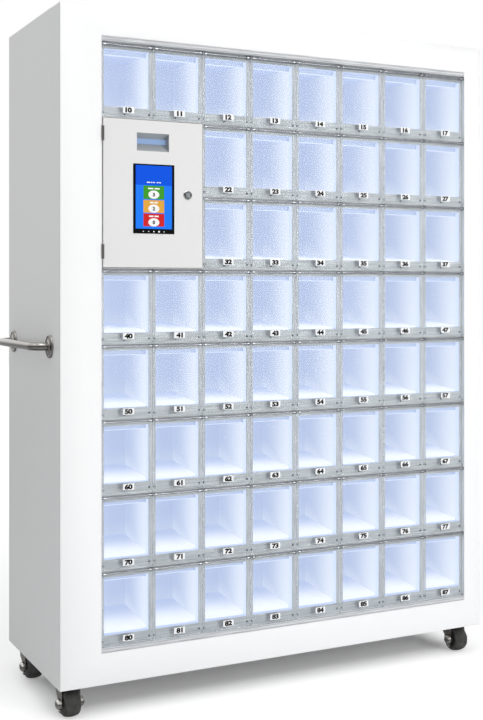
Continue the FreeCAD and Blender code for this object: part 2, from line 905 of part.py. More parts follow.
def caster_axle_y(y):
    return y - caster_trail


def brake_pivot(y):
    """Y and Z of the brake's pin."""
    return y + brake_behind, wheel_radius + brake_above


def fork_leg_solid(x0, x1, y):
    """One side of the fork: from the crown to the axle's boss, with an ear for the brake."""
    axle_y = caster_axle_y(y)
    pivot_y, pivot_z = brake_pivot(y)
    ear = brake_hub_radius + fork_leg
    outline = [(y - crown_half_depth, crown_top), (pivot_y + ear, crown_top), (pivot_y + ear, pivot_z),
               (axle_y + fork_boss, wheel_radius), (axle_y - fork_boss, wheel_radius),
               (y - crown_half_depth - fork_leg, crown_bottom - crown)]
    web = prism_x(outline, x0, x1)
    boss = rod_x(fork_boss, x0, x1, axle_y, wheel_radius)
    tab = rod_x(guard_bolt_radius + fork_leg, x0, x1, axle_y, wheel_radius - guard_bolt_drop)
    return joined(web, boss, tab)


def caster_fork(x, y):
    """The swivelling fork, its axle with domed heads, the pin behind it and the guard bolts."""
    axle_y = caster_axle_y(y)
    pivot_y, pivot_z = brake_pivot(y)
    top = block(x - fork_outer, x + fork_outer, y - crown_half_depth, y + crown_half_depth,
                crown_bottom, crown_top)
    legs = [fork_leg_solid(x - fork_outer, x - fork_inner, y),
            fork_leg_solid(x + fork_inner, x + fork_outer, y)]
    holes = [rod_z(kingpin_radius + running_clearance, x, y, crown_bottom, crown_top),
             rod_x(axle_radius + running_clearance, x - fork_outer, x + fork_outer, axle_y, wheel_radius),
             rod_x(brake_pin_radius + running_clearance, x - fork_outer, x + fork_outer, pivot_y, pivot_z)]
    fork = joined(top, *legs).cut(holes)
    axle = joined(rod_x(axle_radius, x - fork_outer, x + fork_outer, axle_y, wheel_radius),
                  domed_head(x - fork_outer, -1, axle_y), domed_head(x + fork_outer, 1, axle_y))
    pin = rod_x(brake_pin_radius, x - fork_outer, x + fork_outer, pivot_y, pivot_z)
    bolts = [rod_x(guard_bolt_radius, x0, x0 + guard_bolt_head, axle_y, wheel_radius - guard_bolt_drop)
             for x0 in (x - fork_outer - guard_bolt_head, x + fork_outer)]
    return [fork, axle, pin] + bolts


def domed_head(x, side, y):
    """A round head on the axle's end, with a rounded rim."""
    x0, x1 = sorted([x, x + side * axle_head])
    head = rod_x(axle_head_radius, x0, x1, y, wheel_radius)
    rim_edges = [edge for edge in head.Edges
                 if edge.BoundBox.XLength < axle_head / 2.0 and abs(edge.BoundBox.Center.x - x) > axle_head / 2.0]
    return head.makeFillet(axle_head * 0.8, rim_edges)


def caster_wheel(x, y):
    """A tyre with rounded shoulders on a dished hub, bored for the axle."""
    axle_y = caster_axle_y(y)
    half = wheel_width / 2.0
    tread = rod_x(wheel_radius, x - half, x + half, axle_y, wheel_radius)
    shoulders = [edge for edge in tread.Edges if edge.BoundBox.XLength < half]
    tyre = tread.makeFillet(wheel_edge, shoulders)
    dishes = [rod_x(wheel_dish_radius, x - half, x - half + wheel_dish, axle_y, wheel_radius),
              rod_x(wheel_dish_radius, x + half - wheel_dish, x + half, axle_y, wheel_radius)]
    hub = rod_x(2 * axle_radius, x - half, x + half, axle_y, wheel_radius)
    bore = rod_x(axle_radius + running_clearance, x - half, x + half, axle_y, wheel_radius)
    return joined(tyre.cut(dishes), hub).cut(bore)


def brake_nose(y):
    """Y and Z of the middle of the brake's nose, which meets the tyre after the pedal's travel."""
    pivot_y, pivot_z = brake_pivot(y)
    to_axle = atan2(wheel_radius - pivot_z, caster_axle_y(y) - pivot_y)
    reach = (hypot(wheel_radius - pivot_z, caster_axle_y(y) - pivot_y)
             - wheel_radius - seat_clearance - brake_nose_radius)
    released = to_axle + radians(brake_travel)
    return pivot_y + reach * cos(released), pivot_z + reach * sin(released)


def caster_brake(x, y):
    """A foot pedal on the fork's pin; its nose meets the tyre when the pedal goes down."""
    pivot_y, pivot_z = brake_pivot(y)
    half = brake_width / 2.0
    hub = rod_x(brake_hub_radius, x - half, x + half, pivot_y, pivot_z)
    along = Vector(0, cos(radians(pedal_slope)), -sin(radians(pedal_slope)))
    across = Vector(0, sin(radians(pedal_slope)), cos(radians(pedal_slope)))
    pivot = Vector(x - half, pivot_y, pivot_z)
    corners = [pivot, pivot + along * pedal_length, pivot + along * pedal_length + across * pedal_thickness,
               pivot + across * pedal_thickness]
    pad = Part.Face(Part.makePolygon(corners + corners[:1])).extrude(Vector(brake_width, 0, 0))
    tip_at = pivot + along * pedal_length + across * (pedal_thickness / 2.0)
    tip = rod_x(pedal_tip_radius, x - half, x + half, tip_at.y, tip_at.z)
    nose_y, nose_z = brake_nose(y)
    nose = rod_x(brake_nose_radius, x - half, x + half, nose_y, nose_z)
    bore = rod_x(brake_pin_radius + running_clearance, x - half, x + half, pivot_y, pivot_z)
    return joined(hub, pad, tip, nose).cut(bore)


# ---- fasteners ------------------------------------------------------------------------
def back_screws():
    return [joined(rod_y(screw_head_radius, x, back_y, back_y + screw_head, z),
                   rod_y(screw_radius, x, back_y - screw_reach, back_y, z)) for x, z in back_screw_places]


def caster_bolts():
    bolts = []
    for x, y in caster_places.values():
        for bolt_x, bolt_y in bolt_places(x, y):
            pan_top = case_bottom + pan_sheet
            bolts.append(joined(rod_z(bolt_head_radius, bolt_x, bolt_y, plate_bottom - bolt_head, plate_bottom),
                                rod_z(bolt_radius, bolt_x, bolt_y, plate_bottom, pan_top),
                                rod_z(bolt_head_radius, bolt_x, bolt_y, pan_top, pan_top + nut_height)))
    return bolts


def lock_nut():
    ring = rod_y(lock_nut_radius, lock_x, depth(sheet), depth(sheet + lock_nut_height), lock_z)
    return ring.cut(rod_y(lock_body_radius + running_clearance, lock_x, depth(sheet),
                          depth(sheet + lock_nut_height), lock_z))


# ---- build ----------------------------------------------------------------------------
os.makedirs("parts", exist_ok=True)

save("front_frame", front_frame())
save("left_side_panel", [side_panel(-1)])
save("right_side_panel", [side_panel(1)])
save("top_panel", [top_panel()])
save("base_pan", [base_pan()])
save("back_panel", [back_panel()])
save("grid_rails", grid_rails())
save("grid_mullions", grid_mullions())
save("trim_bars", trim_bars())
save("compartment_dividers", compartment_dividers())
save("compartment_shelves", compartment_shelves())
save("compartment_ceilings", compartment_ceilings())
save("compartment_back", [compartment_back()])
save("led_strips", led_strips())
save("door_latches", door_latches())
save("door_bumpers", door_bumpers())
save("hinge_rods", hinge_rods())
save("hinge_ears", hinge_ears())
save_doors()
save("control_bay_box", [control_bay_box()])
save("control_hinges", control_hinges())
save("control_door", [control_door()])
save("control_hinge_leaves", control_hinge_leaves())
save("scanner_pocket", [scanner_pocket()])
save("scanner_window", [scanner_window()])
save("screen_bezel", [screen_bezel()])
save("screen_panel", [screen_panel()])
save("lock_housing", [lock_housing(), lock_nut()])
save("lock_plug", [lock_plug()])
save("controller_board", [controller_board()])
save("power_supply", [power_supply()])
save("power_inlet", [power_inlet()])
save("handle_bar_left", [handle_bar(-1)])
save("handle_bar_right", [handle_bar(1)])
save("handle_flanges", handle_flanges())
save("caster_plates", [caster_plate(x, y) for x, y in caster_places.values()])
for corner, (x, y) in caster_places.items():
    save("caster_fork_" + corner, caster_fork(x, y))
    save("caster_wheel_" + corner, [caster_wheel(x, y)])
    if corner in braked:
        save("caster_brake_" + corner, [caster_brake(x, y)])
save("fasteners", back_screws() + caster_bolts())
print("width", cabinet_width, "depth", cabinet_depth, "height", case_top, "front", front_y)
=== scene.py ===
# %% [markdown]
# # A supply cabinet with sixty clear doors, dressed in Blender
# The cabinet is a painted steel case on four casters. Its front is a grid of lit
# compartments behind clear flip-up doors, with a steel control door among them.
# The measured solids are already there as a frame. This lesson gives each part
# its finish, and swaps the plain solids for finer ones where an edge, a lens or
# a number would show. Everything is in metres and stands where the frame stands.

# %% Load the frame
import json
from math import cos, pi, radians, sin

import bmesh
import bpy
from mathutils import Matrix, Vector

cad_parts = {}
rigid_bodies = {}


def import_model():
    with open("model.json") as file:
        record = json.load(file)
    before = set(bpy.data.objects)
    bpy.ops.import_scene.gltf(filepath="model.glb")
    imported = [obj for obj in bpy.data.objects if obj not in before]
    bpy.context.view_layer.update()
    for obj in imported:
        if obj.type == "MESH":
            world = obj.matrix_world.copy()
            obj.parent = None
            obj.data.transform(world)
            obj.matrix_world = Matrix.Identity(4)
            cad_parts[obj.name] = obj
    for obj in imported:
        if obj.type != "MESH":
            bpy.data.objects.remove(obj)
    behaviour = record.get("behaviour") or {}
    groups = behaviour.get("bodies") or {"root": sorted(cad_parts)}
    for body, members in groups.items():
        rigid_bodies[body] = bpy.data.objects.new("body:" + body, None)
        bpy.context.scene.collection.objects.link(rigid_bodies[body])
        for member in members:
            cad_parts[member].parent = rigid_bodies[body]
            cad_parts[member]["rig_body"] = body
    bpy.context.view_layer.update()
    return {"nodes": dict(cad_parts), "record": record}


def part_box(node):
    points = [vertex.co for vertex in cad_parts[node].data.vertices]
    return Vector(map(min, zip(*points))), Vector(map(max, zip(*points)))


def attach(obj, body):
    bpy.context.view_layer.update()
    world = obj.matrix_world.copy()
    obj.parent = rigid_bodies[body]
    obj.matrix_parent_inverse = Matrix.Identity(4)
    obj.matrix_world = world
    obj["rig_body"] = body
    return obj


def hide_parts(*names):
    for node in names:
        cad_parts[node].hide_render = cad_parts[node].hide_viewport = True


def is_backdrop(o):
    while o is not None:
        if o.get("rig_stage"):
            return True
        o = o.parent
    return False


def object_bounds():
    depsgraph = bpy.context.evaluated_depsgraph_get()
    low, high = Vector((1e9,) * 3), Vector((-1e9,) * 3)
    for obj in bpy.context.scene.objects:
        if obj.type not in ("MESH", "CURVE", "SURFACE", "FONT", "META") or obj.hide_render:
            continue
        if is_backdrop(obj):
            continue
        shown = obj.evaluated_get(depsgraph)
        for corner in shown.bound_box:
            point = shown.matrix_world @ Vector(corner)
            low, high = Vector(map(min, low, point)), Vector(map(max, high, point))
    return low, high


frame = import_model()

# %% [markdown]
# ## The camera
# The cabinet is seen from the left of its front, at about chest height. The
# camera stays level, so that the uprights stay upright, and a small shift of the
# lens takes in the casters. Tilting the camera would make the case lean instead.

# %% Camera
def linked(name, data):
    """A new object for some data, linked into the scene."""
    thing = bpy.data.objects.new(name, data)
    bpy.context.scene.collection.objects.link(thing)
    return thing


camera_data = bpy.data.cameras.new("camera")
camera_data.lens = 57.99
camera_data.sensor_width = 36.0
camera_data.shift_y = -0.0997
camera = linked("camera", camera_data)
camera.location = (-1.654, -3.2426, 1.1728)
camera.rotation_euler = (radians(90.0), 0.0, radians(-26.5858))
bpy.context.scene.camera = camera
bpy.context.scene.view_settings.view_transform = "Standard"
print("camera at", tuple(camera.location))

# %% [markdown]
# ## Sizes that many pieces share
# The doors and the compartments stand on a regular grid. The grid is read from the
# boxes of the frame's own parts, so that the pieces below land on them exactly.

# %% The grid
columns, rows = 8, 8
cell_width, cell_height = 0.1524, 0.207
trim_height, trim_inset = 0.014, 0.001
bay_columns, bay_rows = 2, (1, 2)
rails_low, rails_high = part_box("grid_rails")
trims_low, trims_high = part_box("trim_bars")
grid_left = rails_low.x
grid_top = rails_high.z - trim_height
front = trims_low.y - trim_inset
bar_back = rails_high.y


def column_edge(column):
    """X of the line left of a column."""
    return grid_left + column * cell_width


def row_edge(row):
    """Z of the line above a row, counted from the top."""
    return grid_top - row * cell_height


def in_bay(row, column):
    """Whether the control door covers this cell."""
    return column < bay_columns and row in bay_rows


cells = [(row, column) for row in range(rows) for column in range(columns)
         if not in_bay(row, column)]
print("cells", len(cells), "left", round(grid_left, 4), "top", round(grid_top, 4),
      "front", round(front, 4))

# %% [markdown]
# ## Helpers for node trees
# A shader or a geometry tree is a small machine: sockets wired to sockets. Short helpers
# keep the wiring readable. `feed` puts a plain value on a socket or wires another socket
# to it, and `put` does so for a node's sockets by name. The others each add one common
# node: a Math node, a range, a mix, a noise, a bump, or a group that holds an effect.

# %% Wiring helpers
def feed(tree, value, socket):
    """Set a socket to a value, or link another socket to it."""
    if isinstance(value, bpy.types.NodeSocket):
        tree.links.new(value, socket)
    else:
        socket.default_value = value


def put(tree, node, **values):
    """Feed a node's inputs by name, with an underscore for each space."""
    for label, value in values.items():
        feed(tree, value, node.inputs[label.replace("_", " ")])
    return node


def added(tree, kind, **values):
    """A new node with its inputs fed by name."""
    return put(tree, tree.nodes.new(kind), **values)


def grouped(tree, group, **values):
    """A new node that runs an effect, with its inputs fed by name."""
    node = tree.nodes.new("ShaderNodeGroup")
    node.node_tree = group
    return put(tree, node, **values)


def maths(tree, operation, *values):
    node = tree.nodes.new("ShaderNodeMath")
    node.operation = operation
    for socket, value in zip(node.inputs, values):
        feed(tree, value, socket)
    return node.outputs[0]


def between(tree, value, low, high, to_low=0.0, to_high=1.0):
    """Map Range: value from low..high to to_low..to_high, clamped and smooth at its ends."""
    node = added(tree, "ShaderNodeMapRange", Value=value, From_Min=low, From_Max=high,
                 To_Min=to_low, To_Max=to_high)
    node.interpolation_type = "SMOOTHSTEP"
    return node.outputs["Result"]


def blended(tree, factor, first, second, kind="MIX"):
    """A mix of two colours."""
    node = tree.nodes.new("ShaderNodeMix")
    node.data_type = "RGBA"
    node.blend_type = kind
    for index, value in ((0, factor), (6, first), (7, second)):
        feed(tree, value, node.inputs[index])
    return node.outputs[2]


def shaded(tree, colour, shade):
    """A colour multiplied by a shade."""
    return blended(tree, 1.0, colour, shade, "MULTIPLY")


def either(tree, factor, first, second):
    """A shader that goes from the first to the second with the factor."""
    node = tree.nodes.new("ShaderNodeMixShader")
    for value, socket in zip((factor, first, second), node.inputs):
        feed(tree, value, socket)
    return node.outputs[0]


def parts_of(tree, kind="Object"):
    """X, Y and Z of a surface point's place, or of its normal."""
    place = tree.nodes.new("ShaderNodeTexCoord")
    return added(tree, "ShaderNodeSeparateXYZ", Vector=place.outputs[kind]).outputs


def grain(tree, stretch, scale, detail=2.0, roughness=0.5):
    """Noise on Object coordinates, stretched by a factor along each axis."""
    place = tree.nodes.new("ShaderNodeTexCoord")
    mapping = added(tree, "ShaderNodeMapping", Vector=place.outputs["Object"], Scale=stretch)
    noise = added(tree, "ShaderNodeTexNoise", Vector=mapping.outputs["Vector"], Scale=scale,
                  Detail=detail, Roughness=roughness)
    return noise.outputs["Fac"]


def bumped(tree, height, distance):
    """The normal of a surface with that height on it."""
    return added(tree, "ShaderNodeBump", Height=height, Distance=distance).outputs["Normal"]


def node_group(name, inputs, outputs, kind="ShaderNodeTree"):
    """A node group with sockets of (label, kind, value), ready to be filled."""
    group = bpy.data.node_groups.new(name, kind)
    for side, sockets in (("INPUT", inputs), ("OUTPUT", outputs)):
        for label, holds, *value in sockets:
            socket = group.interface.new_socket(label, in_out=side,
                                                socket_type="NodeSocket" + holds)
            if value:
                socket.default_value = value[0]
    return group, group.nodes.new("NodeGroupInput").outputs, group.nodes.new("NodeGroupOutput")


def grey(value):
    return (value, value, value, 1.0)


print("wiring helpers ready")

# %% [markdown]
# ## Shared surface effects
# Five effects serve the materials below, so each is one node group. `paint_skin` is the
# faint orange peel of powder paint, with a slow change of shade over a large panel.
# `drawn_lines` is the fine lay that rolling or brushing leaves on metal, or the flow
# lines in moulded plastic. `settled_dust` greys what is near the floor. `fine_speckle`
# is the tiny mottle of moulded plastic. `dot_field` is the print on a light-spreading
# wall. The first, second and fourth put out a colour, a roughness and a normal, the
# others a colour or a mask, and each material sets its own values.

# %% Paint skin
SKIN = (("Colour", "Color"), ("Roughness", "Float"), ("Normal", "Vector"))
EVEN = (1.0, 1.0, 1.0)
paint_skin, take, give = node_group("paint_skin", (
    ("Colour", "Color", grey(0.8)), ("Shade", "Float", 0.03), ("Peel", "Float", 420.0),
    ("Height", "Float", 0.00004), ("Gloss", "Float", 0.4)), SKIN)
tree = paint_skin
slow = grain(tree, (1.0, 1.0, 0.6), 2.2, 3.0)
lift = maths(tree, "MULTIPLY_ADD", slow, take["Shade"], 1.0)
level = maths(tree, "MULTIPLY_ADD", take["Shade"], -0.5, lift)
peel = grain(tree, EVEN, take["Peel"], 1.0)
put(tree, give, Colour=shaded(tree, take["Colour"], level),
    Roughness=maths(tree, "MULTIPLY_ADD", slow, 0.12, take["Gloss"]),
    Normal=bumped(tree, peel, take["Height"]))
print(tree.name, len(tree.nodes), "nodes")

# %% Drawn lines
drawn_lines, take, give = node_group("drawn_lines", (
    ("Colour", "Color", grey(0.6)), ("Stretch", "Vector", (1.0, 60.0, 60.0)),
    ("Scale", "Float", 12.0), ("Contrast", "Float", 0.2), ("Height", "Float", 0.00002),
    ("Gloss", "Float", 0.25), ("Spread", "Float", 0.1)), SKIN)
tree = drawn_lines
lay = grain(tree, take["Stretch"], take["Scale"], 4.0, 0.6)
spread = between(tree, lay, 0.3, 0.7)
shade = maths(tree, "SUBTRACT", 1.0, maths(tree, "MULTIPLY", spread, take["Contrast"]))
put(tree, give, Colour=shaded(tree, take["Colour"], shade),
    Roughness=maths(tree, "MULTIPLY_ADD", spread, take["Spread"], take["Gloss"]),
    Normal=bumped(tree, lay, take["Height"]))
print(tree.name, len(tree.nodes), "nodes")

# %% Settled dust
settled_dust, take, give = node_group("settled_dust", (
    ("Colour", "Color", grey(0.1)), ("Dust", "Color", (0.45, 0.43, 0.4, 1.0)),
    ("Amount", "Float", 0.3), ("Top", "Float", 0.09)), SKIN[:1])
tree = settled_dust
low_down = between(tree, parts_of(tree)["Z"], take["Top"], 0.0)
patchy = between(tree, grain(tree, EVEN, 60.0, 4.0), 0.35, 0.75)
mask = maths(tree, "MULTIPLY", maths(tree, "MULTIPLY", low_down, patchy), take["Amount"])
put(tree, give, Colour=blended(tree, mask, take["Colour"], take["Dust"]))
print(tree.name, len(tree.nodes), "nodes")

# %% Fine speckle
fine_speckle, take, give = node_group("fine_speckle", (
    ("Colour", "Color", grey(0.5)), ("Scale", "Float", 900.0), ("Contrast", "Float", 0.08),
    ("Height", "Float", 0.00003), ("Gloss", "Float", 0.45)), SKIN)
tree = fine_speckle
speck = grain(tree, EVEN, take["Scale"])
cloud = grain(tree, EVEN, 14.0, 3.0)
both = maths(tree, "MULTIPLY_ADD", cloud, 0.6, maths(tree, "MULTIPLY", speck, 0.4))
tone = maths(tree, "SUBTRACT", 1.0, maths(tree, "MULTIPLY", both, take["Contrast"]))
put(tree, give, Colour=shaded(tree, take["Colour"], tone),
    Roughness=maths(tree, "MULTIPLY_ADD", cloud, 0.1, take["Gloss"]),
    Normal=bumped(tree, speck, take["Height"]))
print(tree.name, len(tree.nodes), "nodes")

# %% Dot field
dot_field, take, give = node_group("dot_field", (
    ("Pitch", "Float", 0.006), ("Radius", "Float", 0.22)), (("Mask", "Float"),))
tree = dot_field
axes = parts_of(tree)
squares = []
for axis in ("Y", "Z"):
    turns = maths(tree, "DIVIDE", axes[axis], take["Pitch"])
    offset = maths(tree, "SUBTRACT", maths(tree, "FRACT", turns), 0.5)
    squares.append(maths(tree, "MULTIPLY", offset, offset))
reach = maths(tree, "SQRT", maths(tree, "ADD", *squares))
soft_edge = maths(tree, "ADD", take["Radius"], 0.12)
put(tree, give, Mask=between(tree, reach, soft_edge, take["Radius"]))
print(tree.name, len(tree.nodes), "nodes")

# %% [markdown]
# ## One helper for a finish
# Most finishes are a Principled shader fed by one effect. `finish` makes the material,
# sets the shader's own values, places the group, lays dust over its colour where there
# is some, and wires its colour, roughness and normal into the shader. What differs
# between finishes is only the numbers.

# %% Finish helper
finishes = {}


def finish(name, group=None, values=(), dust=0.0, **sockets):
    """A material called name: plain socket values, and an effect group wired in by name."""
    material = bpy.data.materials.new(name)
    material.use_nodes = True
    tree = material.node_tree
    shader = put(tree, tree.nodes["Principled BSDF"], **sockets)
    if group is not None:
        skin = grouped(tree, group, **dict(values)).outputs
        colour = skin["Colour"]
        if dust:
            colour = grouped(tree, settled_dust, Amount=dust, Colour=colour).outputs["Colour"]
        put(tree, shader, Base_Color=colour, Roughness=skin["Roughness"], Normal=skin["Normal"])
    finishes[name] = material
    return tree, shader


print("finish helper ready")

# %% [markdown]
# ## Paint, steel and plastic
# The case is powder painted white, and the control door a slightly greyer white. The
# handles and flanges are polished stainless steel with a faint lay along the bar. The
# casters are dark plated steel and black rubber that has picked up some dust.

# %% Painted finishes
for name, colour, shade, gloss in (
        ("case_paint", grey(0.9), 0.03, 0.36),
        ("door_paint", (0.735, 0.73, 0.725, 1.0), 0.015, 0.34),
        ("bay_paint", grey(0.62), 0.08, 0.4),
        ("pocket_paint", (0.36, 0.38, 0.4, 1.0), 0.1, 0.32)):
    finish(name, paint_skin, {"Colour": colour, "Shade": shade, "Gloss": gloss})
finish("supply_zinc", paint_skin, {"Colour": grey(0.5), "Shade": 0.3, "Gloss": 0.3, "Peel": 160.0},
       Metallic=1.0)
print(sorted(finishes))

# %% Metal finishes
ALONG_X, ALONG_Y, ALONG_Z = (1.0, 60.0, 60.0), (60.0, 1.0, 60.0), (60.0, 60.0, 1.0)
metals = (
    # name, colour, stretch, scale, contrast, height, gloss, spread, dust
    ("polished_bar", (0.48, 0.46, 0.435), ALONG_Y, 9.0, 0.1, 0.000004, 0.1, 0.1, 0.0),
    ("polished_flange", (0.42, 0.4, 0.375), (4.0, 4.0, 4.0), 40.0, 0.1, 0.000004, 0.12, 0.1, 0.0),
    ("rod_steel", (0.4, 0.4, 0.4), ALONG_X, 9.0, 0.2, 0.00001, 0.24, 0.1, 0.0),
    ("sleeve_steel", (0.5, 0.51, 0.52), ALONG_X, 30.0, 0.08, 0.000004, 0.22, 0.08, 0.0),
    ("hinge_black", (0.17, 0.16, 0.155), ALONG_Z, 12.0, 0.3, 0.00001, 0.36, 0.1, 0.0),
    ("lock_nickel", (0.9, 0.91, 0.92), (6.0, 6.0, 6.0), 60.0, 0.12, 0.000004, 0.16, 0.12, 0.0),
    ("lock_core", (0.38, 0.42, 0.44), ALONG_X, 30.0, 0.2, 0.00001, 0.26, 0.1, 0.0),
    ("screw_zinc", (0.62, 0.62, 0.6), (4.0, 4.0, 4.0), 90.0, 0.2, 0.00001, 0.28, 0.12, 0.0),
    ("fork_plate", (0.22, 0.205, 0.19), ALONG_Z, 14.0, 0.3, 0.00001, 0.2, 0.14, 0.25),
    ("caster_top", (0.06, 0.06, 0.062), ALONG_Y, 14.0, 0.3, 0.00002, 0.36, 0.12, 0.2),
    ("cap_steel", (0.68, 0.66, 0.63), (3.0, 3.0, 3.0), 70.0, 0.12, 0.000004, 0.12, 0.1, 0.15),
)
for name, colour, stretch, scale, contrast, height, gloss, spread, dust in metals:
    finish(name, drawn_lines,
           {"Colour": (*colour, 1.0), "Stretch": stretch, "Scale": scale, "Contrast": contrast,
            "Height": height, "Gloss": gloss, "Spread": spread}, dust, Metallic=1.0)
print(len(metals), "metals")

# %% [markdown]
# ## Mirror bands
# A polished round bar shows its room squeezed into stripes: a bright one from above, a
# dark one at the height of the horizon, and a second dark one near its underside. The
# room here is an even white, so a group lays those stripes over the steel's own colour,
# by how far each point of the surface faces up or down.

# %% Mirror bands
mirror_bands, take, give = node_group(
    "mirror_bands", (("Colour", "Color", grey(0.7)), ("Amount", "Float", 1.0)), SKIN[:1])
tree = mirror_bands
stripes = added(tree, "ShaderNodeValToRGB",
                Fac=maths(tree, "MULTIPLY_ADD", parts_of(tree, "Normal")["Z"], 0.5, 0.5))
stops = ((0.0, 0.1), (0.14, 0.2), (0.26, 0.56), (0.42, 0.46), (0.5, 0.12), (0.58, 0.16),
         (0.7, 0.9), (0.86, 1.0), (1.0, 0.55))
ramp = stripes.color_ramp
ramp.interpolation = "EASE"
while len(ramp.elements) < len(stops):
    ramp.elements.new(0.5)
for element, (position, value) in zip(ramp.elements, stops):
    element.position = position
    element.color = grey(value)
put(tree, give, Colour=blended(tree, take["Amount"], take["Colour"], stripes.outputs["Color"],
                               "MULTIPLY"))
banded = (("polished_bar", 1.0), ("polished_flange", 0.8), ("cap_steel", 0.9), ("lock_nickel", 1.0))
for name, amount in banded:
    tree = finishes[name].node_tree
    skin = tree.nodes["Principled BSDF"].inputs["Base Color"]
    layer = grouped(tree, mirror_bands, Amount=amount, Colour=skin.links[0].from_socket)
    feed(tree, layer.outputs["Colour"], skin)
print("bands on", len(banded), "finishes")

# %% Plastic and rubber finishes
plastics = (
    # name, colour, scale, contrast, height, gloss, dust, specular level
    ("rubber_tyre", (0.03, 0.03, 0.028), 700.0, 0.2, 0.00006, 0.5, 0.12, 0.5),
    ("wheel_core", (0.02, 0.02, 0.02), 700.0, 0.2, 0.00003, 0.4, 0.15, 0.5),
    ("pedal_plastic", (0.025, 0.025, 0.025), 600.0, 0.3, 0.00006, 0.5, 0.25, 0.5),
    ("bumper_rubber", (0.13, 0.13, 0.135), 900.0, 0.2, 0.00002, 0.6, 0.0, 0.5),
    ("latch_plastic", (0.03, 0.035, 0.045), 900.0, 0.2, 0.00002, 0.4, 0.0, 0.5),
    ("ear_plastic", (0.3, 0.31, 0.32), 900.0, 0.2, 0.00002, 0.35, 0.0, 0.5),
    ("inlet_plastic", (0.02, 0.02, 0.02), 1100.0, 0.3, 0.00004, 0.5, 0.0, 0.5),
    ("bezel_plastic", (0.008, 0.008, 0.009), 900.0, 0.2, 0.00001, 0.22, 0.0, 0.0),
    ("plate_white", (0.9, 0.9, 0.9), 700.0, 0.03, 0.00001, 0.4, 0.0, 0.0),
    ("digit_black", (0.01, 0.01, 0.01), 700.0, 0.2, 0.00001, 0.4, 0.0, 0.0),
)
for name, colour, scale, contrast, height, gloss, dust, specular in plastics:
    finish(name, fine_speckle, {"Colour": (*colour, 1.0), "Scale": scale, "Contrast": contrast,
                                "Height": height, "Gloss": gloss}, dust,
           Specular_IOR_Level=specular)
print(len(plastics), "plastics")

# %% [markdown]
# ## The grey bars
# The bars between the compartments are drawn aluminium with a dull grey skin. Seen
# through the doors they look streaky along their length, so the rails and the uprights
# share one effect and differ in their grey and in the direction of its stretch. The rail
# at the top of the grid sits in the shade of the header, and that shade is painted into
# its skin as a darker grey towards the top.
# The sides of a bar that face into a compartment have the compartment's light painted
# on them, as a pale bluish colour with a little glow, so each opening seems lit right up
# to the front of its frame.

# %% Bar finishes
# Painted light on the bar sides that face into a compartment: a colour and a glow for the rails (Z)
# and the uprights (X).
painted_side_light = {"Z": ((0.33, 0.36, 0.43, 1.0), (0.31, 0.36, 0.49, 1.0)),
           "X": ((0.5, 0.53, 0.58, 1.0), (0.4, 0.45, 0.56, 1.0))}
painted_shade_rise = 0.04
bars = (
    # name, colour, stretch, scale, axis of the sides with painted light
    ("rail_grey", (0.56, 0.575, 0.585), (1.0, 14.0, 26.0), 9.0, "Z"),
    ("upright_grey", (0.6, 0.61, 0.63), (26.0, 14.0, 1.0), 9.0, "X"),
    ("trim_grey", (0.72, 0.73, 0.75), (1.0, 20.0, 40.0), 12.0, None),
)
for name, colour, stretch, scale, painted_side_axis in bars:
    tree, shader = finish(name, drawn_lines, {
        "Colour": (*colour, 1.0), "Stretch": stretch, "Scale": scale, "Contrast": 0.3,
        "Height": 0.0002, "Gloss": 0.38, "Spread": 0.16})
    skin = shader.inputs["Base Color"].links[0].from_socket
    # Painted shade of the header: the rail's grey darkens towards the top of the grid.
    if name == "rail_grey":
        shade = between(tree, parts_of(tree)["Z"], row_edge(1) + painted_shade_rise, row_edge(0),
                        1.0, 0.86)
        skin = shaded(tree, skin, shade)
    # Painted light: the sides facing into a compartment get a bluish colour and a glow.
    if painted_side_axis:
        sideways = maths(tree, "ABSOLUTE", parts_of(tree, "Normal")[painted_side_axis])
        inner = between(tree, sideways, 0.8, 0.95)
        side_light_colour, glow = painted_side_light[painted_side_axis]
        put(tree, shader, Base_Color=blended(tree, inner, skin, side_light_colour), Emission_Strength=1.0,
            Emission_Color=blended(tree, inner, grey(0.0), glow))
print(len(bars), "bar finishes")

# %% [markdown]
# ## Lit compartments
# Each compartment is a white plastic bin with a lamp bar behind the top of its frame.
# The lamp's light is a cool white, strongest near the front and on the foot of each
# wall, with a bluer shade deeper in. The side walls carry a fine print of dots that
# spreads the light. A good part of that light and shade is painted into the walls'
# colour and given to them as a glow of their own, so the bins still look lit where a
# viewer has no lamps of its own.

# %% Bin finishes
# Painted light and shade of the lamps: a bin's colour and glow go from a shaded blue deep in to a
# lit white near the front.
shade_base = (0.24, 0.26, 0.31, 1.0)
lit_depth = 0.17
foot_fade = (0.5, 0.12)  # as shares of the cell's height


def bin_finish(name, shade_glow, lit_base, lit_glow, foot_share, near=0.0, dots=False):
    """White plastic with painted light: lighter near the front, and by foot_share near the foot of
    each cell.
    """
    tree, shader = finish(name)
    axes = parts_of(tree)
    to_front = between(tree, axes["Y"], bar_back + lit_depth, bar_back + near)
    rise = maths(tree, "SUBTRACT", axes["Z"], row_edge(rows))
    from_foot = maths(tree, "FRACT", maths(tree, "DIVIDE", rise, cell_height))
    near_foot = between(tree, from_foot, *foot_fade)
    lit = maths(tree, "MAXIMUM", to_front, maths(tree, "MULTIPLY", near_foot, foot_share))
    speckle = grain(tree, EVEN, 300.0)
    tint = maths(tree, "MULTIPLY_ADD", speckle, -0.03, 1.0)
    if dots:
        printed = grouped(tree, dot_field).outputs["Mask"]
        tint = maths(tree, "MULTIPLY_ADD", printed, -0.1, tint)
    put(tree, shader, Roughness=0.5, Emission_Strength=1.0,
        Base_Color=shaded(tree, blended(tree, lit, shade_base, lit_base), tint),
        Emission_Color=shaded(tree, blended(tree, lit, shade_glow, lit_glow), tint),
        Normal=bumped(tree, speckle, 0.00005))


